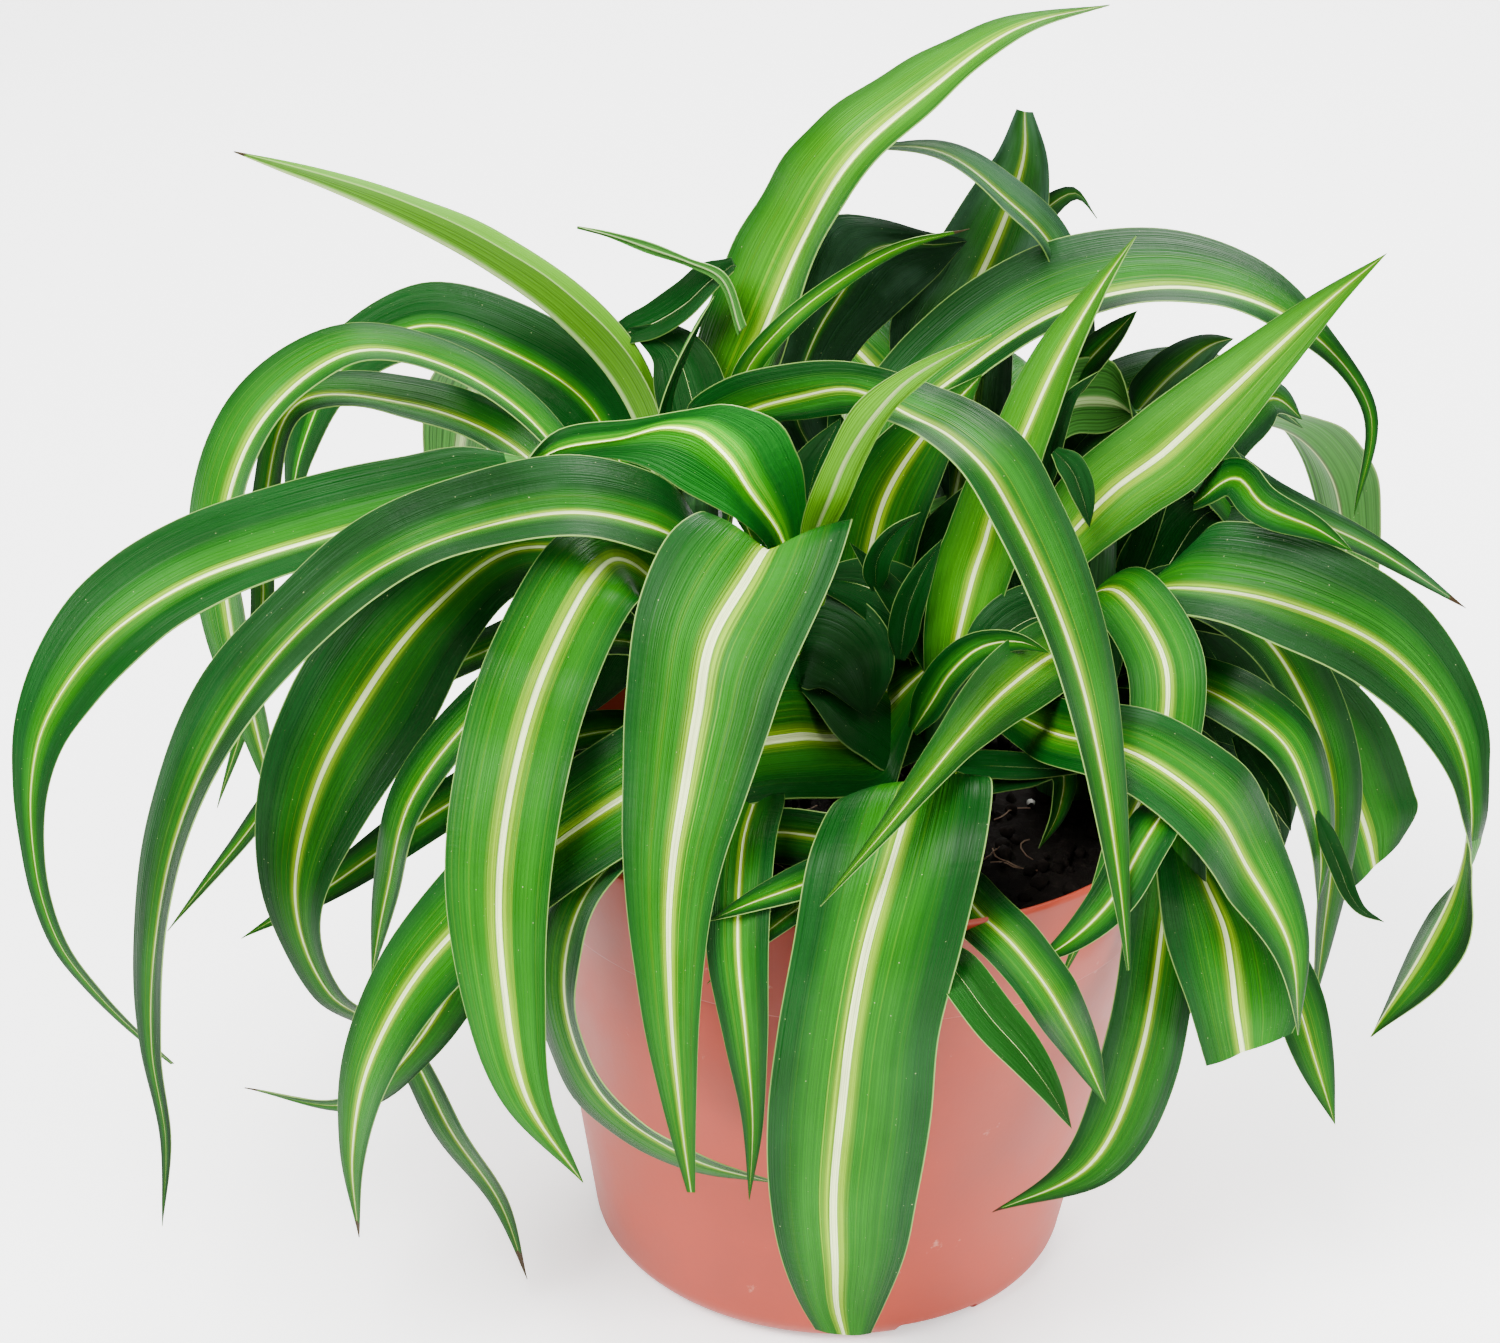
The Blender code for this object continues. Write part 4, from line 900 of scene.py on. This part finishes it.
def turned(name, profile, sides):
    """A bmesh turned about Z from (radius, height) points that start and end on the axis."""
    bm = bmesh.new()
    points = [bm.verts.new((radius, 0.0, height)) for radius, height in profile]
    edges = [bm.edges.new(pair) for pair in zip(points, points[1:])]
    bmesh.ops.spin(bm, geom=points + edges, cent=(0, 0, 0), axis=(0, 0, 1),
                   angle=math.tau, steps=sides, use_duplicate=False)
    bmesh.ops.remove_doubles(bm, verts=bm.verts, dist=1e-6)
    bmesh.ops.recalc_face_normals(bm, faces=bm.faces)
    return bm


def arc(centre, radius, start, end, steps):
    """Points of a circular arc in the (radius, height) plane, angles in degrees."""
    angles = np.radians(np.linspace(start, end, steps + 1))
    return [(centre[0] + radius * math.cos(a), centre[1] + radius * math.sin(a)) for a in angles]


def object_from(bm, name, materials, angle=40):
    """Turn a bmesh into a linked, smooth-shaded object."""
    mesh = bpy.data.meshes.new(name)
    bm.to_mesh(mesh)
    bm.free()
    for material in materials:
        mesh.materials.append(material)
    mesh.shade_smooth()
    mesh.set_sharp_from_angle(angle=math.radians(angle))
    thing = bpy.data.objects.new(name, mesh)
    bpy.context.scene.collection.objects.link(thing)
    return thing


def settle(piece, slot, *nodes):
    """Every piece rides on the root body and stands for its nodes; its slot is not used."""
    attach(piece, "root")
    if nodes:
        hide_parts(*nodes)


def plastic_material(pot):
    """Satin terracotta-coloured plastic with faint mottling, grain and dust."""
    material, tree, shader = new_material("pot_satin_plastic")
    place = add(tree, "ShaderNodeTexCoord").outputs["Object"]
    mottle = add(tree, "ShaderNodeTexNoise", place, None, 38.0, 4.0, 0.6).outputs[0]
    grain = add(tree, "ShaderNodeTexNoise", place, None, 900.0, 3.0, 0.6).outputs[0]
    dark, light = (tuple(c * k for c in pot.plastic) for k in (0.90, 1.08))
    base = blend(tree, ramp(tree, mottle, [(0.35, 0.0), (0.7, 1.0)]), dark, light)
    dust = ramp(tree, add(tree, "ShaderNodeTexNoise", place, None, 150.0, 5.0, 0.7).outputs[0],
                [(0.0, 0.0), (0.66, 0.0), (0.74, 0.35)])
    base = blend(tree, dust, base, (0.62, 0.36, 0.28))
    put(tree, shader.inputs["Base Color"], base)
    put(tree, shader.inputs["Roughness"],
        ramp(tree, mottle, [(0.3, pot.roughness - 0.05), (0.7, pot.roughness + 0.08)]))
    put(tree, shader.inputs["Normal"], bump(tree, grain, 0.05 * MM, 0.4))
    shader.inputs["Specular IOR Level"].default_value = 0.2
    return material


def soil_material(pot):
    """Dark damp growing medium."""
    material, tree, shader = new_material("soil_crumbly")
    place = add(tree, "ShaderNodeTexCoord").outputs["Object"]
    clods = add(tree, "ShaderNodeTexNoise", place, None, 420.0, 6.0, 0.75).outputs[0]
    base = ramp(tree, clods, [(0.30, tuple(c * 0.45 for c in pot.soil)), (0.55, tuple(pot.soil)),
                              (0.75, tuple(c * 3.2 for c in pot.soil))])
    put(tree, shader.inputs["Base Color"], base)
    shader.inputs["Roughness"].default_value = 0.9
    put(tree, shader.inputs["Normal"], bump(tree, clods, 0.8 * MM, 1.0))
    shader.inputs["Specular IOR Level"].default_value = 0.08
    return material


def pale_material(name, colour, rough):
    """Perlite, roots and fibres."""
    material, tree, shader = new_material(name)
    place = add(tree, "ShaderNodeTexCoord").outputs["Object"]
    spots = add(tree, "ShaderNodeTexNoise", place, None, 800.0, 4.0, 0.7).outputs[0]
    base = ramp(tree, spots, [(0.3, tuple(c * 0.6 for c in colour)), (0.7, colour)])
    put(tree, shader.inputs["Base Color"], base)
    shader.inputs["Roughness"].default_value = rough
    return material


def crown_material(leaf):
    """Sheaths with fine ribs, in greens darkened below the leaves' own: painted shade for crowns
    that sit in the shade under the leaves.
    """
    material, tree, shader = new_material("crown_sheaths_painted_shade")
    place = add(tree, "ShaderNodeTexCoord").outputs["Object"]
    parts = add(tree, "ShaderNodeSeparateXYZ", place)
    ribs = stretched_noise(tree, maths(tree, "MULTIPLY", parts.outputs[0], 1400.0),
                           maths(tree, "MULTIPLY", parts.outputs[1], 1400.0),
                           maths(tree, "MULTIPLY", parts.outputs[2], 40.0), 1.0)
    # Painted shade: every stop is a darkened leaf green.
    base = ramp(tree, ribs, [(0.3, tuple(c * 0.5 for c in leaf.deep)), (0.6, tuple(leaf.deep)),
                             (0.8, tuple(c * 0.6 for c in leaf.green))])
    put(tree, shader.inputs["Base Color"], base)
    put(tree, shader.inputs["Normal"], bump(tree, ribs, 0.4 * MM, 0.8))
    shader.inputs["Roughness"].default_value = 0.5
    return material


# Operators ------------------------------------------------------------------------------


class SPIDERPLANT_OT_stage(bpy.types.Operator):
    """Set the camera, the pale floor and the soft light"""

    bl_idname = "spiderplant.stage"
    bl_label = "Stage"

    def execute(self, context):
        """Make the stage."""
        stage = context.scene.spider_plant_stage
        self.camera(context, stage)
        self.floor(stage)
        self.lights(context, stage)
        return {"FINISHED"}

    def camera(self, context, stage):
        """The camera, turned slightly about its own axis."""
        rise, roll = stage.elevation, stage.roll
        back = Vector((0.0, -math.cos(rise), math.sin(rise)))
        right = Vector((1.0, 0.0, 0.0))
        up = back.cross(right)
        turned_right = right * math.cos(roll) + up * math.sin(roll)
        turned_up = up * math.cos(roll) - right * math.sin(roll)
        data = bpy.data.cameras.new("camera")
        data.lens, data.sensor_width, data.clip_start = stage.lens, 36.0, 0.01
        camera = bpy.data.objects.new("camera", data)
        axes = Matrix((turned_right, turned_up, back)).transposed().to_4x4()
        camera.matrix_world = Matrix.Translation(
            Vector(stage.target) + back * stage.distance) @ axes
        context.scene.collection.objects.link(camera)
        context.scene.camera = camera

    def floor(self, stage):
        """A wide plain floor that is close to white."""
        half = stage.floor_size / 2
        mesh = bpy.data.meshes.new("floor")
        mesh.from_pydata([(-half, -half, 0), (half, -half, 0), (half, half, 0), (-half, half, 0)],
                         [], [(0, 1, 2, 3)])
        material, tree, shader = new_material("floor_pale")
        place = add(tree, "ShaderNodeTexCoord").outputs["Object"]
        cloud = add(tree, "ShaderNodeTexNoise", place, None, 2.0, 2.0, 0.5).outputs[0]
        put(tree, shader.inputs["Base Color"], ramp(tree, cloud, [(0.3, 0.90), (0.7, 0.93)]))
        shader.inputs["Roughness"].default_value = 0.9
        shader.inputs["Emission Color"].default_value = (1.0, 1.0, 1.0, 1.0)
        shader.inputs["Emission Strength"].default_value = stage.glow
        mesh.materials.append(material)
        floor = bpy.data.objects.new("floor", mesh)
        floor.location.z = -0.0004
        bpy.context.scene.collection.objects.link(floor)

    def lights(self, context, stage):
        """A pale surround, a large key light above and in front, and a weaker one behind."""
        world = bpy.data.worlds.new("surround")
        world.use_nodes = True
        background = world.node_tree.nodes["Background"]
        background.inputs["Color"].default_value = (1.0, 1.0, 1.0, 1.0)
        background.inputs["Strength"].default_value = stage.surround
        context.scene.world = world
        for name, place, size, power in (
                ("key", (-0.55, -0.75, 1.25), 0.9, stage.light),
                ("fill", (0.9, -0.5, 0.9), 0.9, stage.light * 0.35),
                ("rim", (0.2, 0.9, 1.1), 0.9, stage.light * 0.6)):
            data = bpy.data.lights.new(name, "AREA")
            data.shape, data.size, data.energy = "DISK", size, power
            light = bpy.data.objects.new(name, data)
            light.location = place
            aim = Vector((0.0, 0.0, 0.12)) - Vector(place)
            light.rotation_euler = aim.to_track_quat("-Z", "Y").to_euler()
            context.scene.collection.objects.link(light)


FOOT_RADIUS = 45.0 * MM
BAND_HEIGHT = 20.0 * MM
UNDER_BAND, BAND_LOW = 57.0 * MM, 57.9 * MM  # outer radius just under and just inside the band
NOTCHES = 3
FIRST_NOTCH = -62.0  # degrees from +X
NOTCH_SIZE = (11.0 * MM, 17.0 * MM, 7.2 * MM)
NOTCH_REACH = 40.5 * MM  # from the axis to a notch's middle


class SPIDERPLANT_OT_pot(bpy.types.Operator):
    """Make the nursery pot with its rim band, rounded lip and drainage notches"""

    bl_idname = "spiderplant.pot"
    bl_label = "Pot"

    def execute(self, context):
        """Turn the pot and cut its notches."""
        pot = context.scene.spider_plant_pot
        bm = turned("pot_shell", self.profile(), pot.segments)
        shell = object_from(bm, "pot_shell", [plastic_material(pot)], 35)
        self.cut(context, shell)
        settle(shell, "pot_plastic", "pot")
        return {"FINISHED"}

    def profile(self):
        """Foot, wall, stepped band, rounded lip and the inside, as (radius, height)."""
        rim, top = POT_HIGH[0], POT_HIGH[2]
        corner, wall, floor = 6.0 * MM, 1.4 * MM, 1.8 * MM
        shoulder = top - BAND_HEIGHT
        inner = FOOT_RADIUS - corner
        points = [(0.0, 0.0), (inner - 1.5 * MM, 0.0)]
        points += arc((inner, corner), corner, -90, -6, 10)
        points += [(UNDER_BAND - 0.02 * MM, shoulder - 0.9 * MM)]
        points += [(57.15 * MM, shoulder - 0.35 * MM), (57.75 * MM, shoulder - 0.05 * MM)]
        points += [(57.95 * MM, shoulder + 0.3 * MM), (rim - 0.35 * MM, top - 1.9 * MM)]
        points += arc((rim - 0.8 * MM, top - 0.8 * MM), 0.8 * MM, 0, 180, 8)
        points += [(BAND_LOW - wall, shoulder), (UNDER_BAND - wall, shoulder - 3.0 * MM)]
        points += [(FOOT_RADIUS - wall, corner + 1.0 * MM), (inner, floor), (0.0, floor)]
        return points

    def cut(self, context, shell):
        """Cut the notches through the bottom edge."""
        for index in range(NOTCHES):
            turn = math.radians(FIRST_NOTCH + index * 360.0 / NOTCHES)
            bm = bmesh.new()
            bmesh.ops.create_cube(bm, size=1.0)
            bmesh.ops.scale(bm, vec=NOTCH_SIZE, verts=bm.verts)
            bmesh.ops.bevel(bm, geom=list(bm.edges), offset=0.9 * MM, segments=3,
                            affect="EDGES", profile=0.5)
            place = Matrix.Rotation(turn, 4, "Z") @ Matrix.Translation((NOTCH_REACH, 0.0, 0.0))
            bmesh.ops.transform(bm, matrix=place, verts=bm.verts)
            cutter = object_from(bm, f"notch_{index + 1}", [])
            modifier = shell.modifiers.new(cutter.name, "BOOLEAN")
            modifier.object, modifier.solver = cutter, "EXACT"
            context.view_layer.update()
            done = bpy.data.meshes.new_from_object(
                shell.evaluated_get(context.evaluated_depsgraph_get()))
            shell.modifiers.clear()
            shell.data = done
            bpy.data.objects.remove(cutter, do_unlink=True)
        shell.data.set_sharp_from_angle(angle=math.radians(35))


class SPIDERPLANT_OT_soil(bpy.types.Operator):
    """Make the soil with its crumbs, perlite grains and fibres"""

    bl_idname = "spiderplant.soil"
    bl_label = "Soil"

    def execute(self, context):
        """Make the body of soil and what lies on it."""
        pot = context.scene.spider_plant_pot
        dark = soil_material(pot)
        bm = self.body()
        settle(object_from(bm, "soil_body", [dark], 180), "soil", "soil")
        chance = random.Random(5)
        bm = self.lumps(chance, pot.crumbs, 0.5, 1.9, 0.9)
        settle(object_from(bm, "soil_crumbs", [dark], 180), "soil")
        white = pale_material("perlite", (0.75, 0.73, 0.68), 0.85)
        bm = self.lumps(chance, pot.grains, 0.6, 1.3, 0.8)
        settle(object_from(bm, "soil_perlite", [white], 180), "soil")
        straw = pale_material("fibres", (0.16, 0.09, 0.05), 0.8)
        settle(object_from(self.fibres(chance), "soil_fibres", [straw], 180), "soil")
        return {"FINISHED"}

    def body(self):
        """The frame's soil outline with an uneven top."""
        low, high = SOIL_LOW[2], SOIL_HIGH[2]
        wide = SOIL_HIGH[0] - 0.4 * MM
        shoulder = 74.0 * MM
        profile = [(0.0, low), (38.0 * MM, low), (42.4 * MM, 8.0 * MM),
                   (55.0 * MM, shoulder), (wide, high - 2.6 * MM)]
        profile += [(wide * share, high - 1.3 * MM) for share in np.linspace(0.975, 0.02, 46)]
        profile.append((0.0, high - 1.3 * MM))
        bm = turned("soil_body", profile, 150)
        for vertex in bm.verts:
            if vertex.co.z > high - 2.0 * MM:
                broad = noise.noise(vertex.co * 60.0) * 1.0 * MM
                fine = noise.fractal(vertex.co * 420.0, 0.6, 2.0, 4) * 0.9 * MM
                vertex.co.z = min(vertex.co.z + broad + fine, high + 1.5 * MM)
        return bm

    def spot(self, chance):
        """A point on the soil, clear of the pot."""
        turn, reach = chance.uniform(0, math.tau), 52.0 * MM * math.sqrt(chance.random())
        return Vector((reach * math.cos(turn), reach * math.sin(turn), SOIL_HIGH[2] - 0.8 * MM))

    def lumps(self, chance, count, small, large, flat):
        """Scattered rough lumps, joined in one mesh."""
        bm = bmesh.new()
        for _ in range(count):
            size = chance.uniform(small, large) * MM
            place = Matrix.Translation(self.spot(chance) + Vector((0, 0, size * 0.3)))
            turn = Matrix.Rotation(chance.uniform(0, math.tau), 4, "Z")
            scale = Matrix.Diagonal((size, size * chance.uniform(0.6, 1.0), size * flat, 1.0))
            made = bmesh.ops.create_icosphere(bm, subdivisions=2, radius=1.0)["verts"]
            shift = Vector((chance.uniform(0, 99), 0, 0))
            for vertex in made:
                vertex.co *= 1.0 + 0.45 * noise.noise(vertex.co * 1.6 + shift)
            bmesh.ops.transform(bm, matrix=place @ turn @ scale, verts=made)
        return bm

    def fibres(self, chance):
        """Fine bent fibres lying on the soil."""
        bm = bmesh.new()
        for _ in range(46):
            point = self.spot(chance) + Vector((0, 0, 0.5 * MM))
            heading = chance.uniform(0, math.tau)
            rings = []
            for step in range(7):
                around = Vector((-math.sin(heading), math.cos(heading), 0.0))
                ring = [bm.verts.new(point + (around * math.cos(a) + Vector((0, 0, 1))
                                              * math.sin(a)) * 0.16 * MM)
                        for a in (0.0, math.tau / 3, 2 * math.tau / 3)]
                rings.append(ring)
                heading += chance.uniform(-0.5, 0.5)
                point = point + Vector((math.cos(heading), math.sin(heading),
                                        chance.uniform(-0.15, 0.15))) * 1.5 * MM
            for one, two in zip(rings, rings[1:]):
                for i in range(3):
                    bm.faces.new((one[i], one[(i + 1) % 3], two[(i + 1) % 3], two[i]))
            bm.faces.new(rings[0][::-1])
            bm.faces.new(rings[-1])
        bmesh.ops.recalc_face_normals(bm, faces=bm.faces)
        return bm


class SPIDERPLANT_OT_crowns(bpy.types.Operator):
    """Give the crowns their ribbed sheaths"""

    bl_idname = "spiderplant.crowns"
    bl_label = "Crowns"

    def execute(self, context):
        """Finish each crown node."""
        material = crown_material(context.scene.spider_plant_leaf)
        for name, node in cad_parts.items():
            if name.startswith("crown_"):
                node.data.materials.clear()
                node.data.materials.append(material)
        return {"FINISHED"}


def leaf_finishes(leaf):
    """The pairs of upper and lower materials, made once."""
    made = bpy.data.materials
    if "blade_green" not in made:
        leaf_upper("blade_green", leaf)
        leaf_upper("blade_young", leaf, (2.7, 1.3, 0.4))
        # A bluer copy with strong painted sheen patches.
        leaf_upper("blade_hazy", leaf, (1.0, 0.9, 2.0), 0.5)
        # The inner leaves get a slightly darker copy of the green: painted shade.
        leaf_upper("blade_inner", leaf, (0.9, 0.9, 1.0))
        leaf_lower("blade_underside", leaf)
        leaf_lower("blade_underside_young", leaf, (1.9, 1.5, 0.12))
    return {"full": (made["blade_green"], made["blade_underside"]),
            "young": (made["blade_young"], made["blade_underside_young"]),
            "ribbed": (made["blade_underside_young"], made["blade_underside_young"]),
            "sheened": (made["blade_hazy"], made["blade_underside"]),
            "inner": (made["blade_inner"], made["blade_inner"])}


def finish_of(name, finishes):
    """The materials of one leaf."""
    kind = ("young" if name in YOUNG else "ribbed" if name in RIBBED
            else "sheened" if name in SHEENED_LEAVES else "inner" if name.startswith("inner_") else "full")
    return finishes[kind]


class SPIDERPLANT_OT_leaves(bpy.types.Operator):
    """Grow the long leaves over their solids"""

    bl_idname = "spiderplant.leaves"
    bl_label = "Leaves"

    def execute(self, context):
        """One blade for each leaf node."""
        leaf = context.scene.spider_plant_leaf
        finishes = leaf_finishes(leaf)
        names = sorted(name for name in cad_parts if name.startswith("leaf_"))
        for order, node in enumerate(names):
            name = node.removeprefix("leaf_")
            blade = leaf_piece(f"blade_{name}", ribs_of(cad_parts[node]), leaf,
                               leaf_look(name, order), finish_of(name, finishes))
            settle(blade, "leaf_green", node)
        return {"FINISHED"}


class SPIDERPLANT_OT_small_leaves(bpy.types.Operator):
    """Add the small leaves, tips and inner leaves between the long ones"""

    bl_idname = "spiderplant.small_leaves"
    bl_label = "Small leaves"

    def execute(self, context):
        """One blade for each row of the table."""
        leaf = context.scene.spider_plant_leaf
        finishes = leaf_finishes(leaf)
        for order, (name, (width, fold, route)) in enumerate(SMALL_LEAVES.items()):
            blade = leaf_piece(f"blade_{name}", route_ribs(route, width, fold), leaf,
                               leaf_look(name, 100 + order), finish_of(name, finishes))
            settle(blade, "leaf_green")
        return {"FINISHED"}


class SPIDERPLANT_PT_panel(bpy.types.Panel):
    """Lists the steps and the sizes that can be changed"""

    bl_label = "Spider Plant"
    bl_idname = "SPIDERPLANT_PT_panel"
    bl_space_type = "VIEW_3D"
    bl_region_type = "UI"
    bl_category = "Spider Plant"

    def draw(self, context):
        """Show the operators and their settings."""
        for operator in OPERATORS:
            self.layout.operator(operator.bl_idname)
        for group in SETTINGS:
            settings = getattr(context.scene, group)
            box = self.layout.box()
            for name in settings.__annotations__:
                box.prop(settings, name)


OPERATORS = (SPIDERPLANT_OT_stage, SPIDERPLANT_OT_pot, SPIDERPLANT_OT_soil,
             SPIDERPLANT_OT_crowns, SPIDERPLANT_OT_leaves, SPIDERPLANT_OT_small_leaves)
SETTINGS = {"spider_plant_leaf": SpiderPlantLeafSettings,
            "spider_plant_pot": SpiderPlantPotSettings,
            "spider_plant_stage": SpiderPlantStageSettings}


def register():
    """Add the settings, the operators and the panel."""
    for name, group in SETTINGS.items():
        bpy.utils.register_class(group)
        setattr(bpy.types.Scene, name, PointerProperty(type=group))
    for cls in (*OPERATORS, SPIDERPLANT_PT_panel):
        bpy.utils.register_class(cls)


def unregister():
    """Take them away again."""
    for cls in (SPIDERPLANT_PT_panel, *reversed(OPERATORS)):
        bpy.utils.unregister_class(cls)
    for name, group in SETTINGS.items():
        delattr(bpy.types.Scene, name)
        bpy.utils.unregister_class(group)


def main():
    """Make every piece."""
    register()
    for operator in OPERATORS:
        group, name = operator.bl_idname.split(".")
        getattr(getattr(bpy.ops, group), name)()


if __name__ == "__main__":
    main()
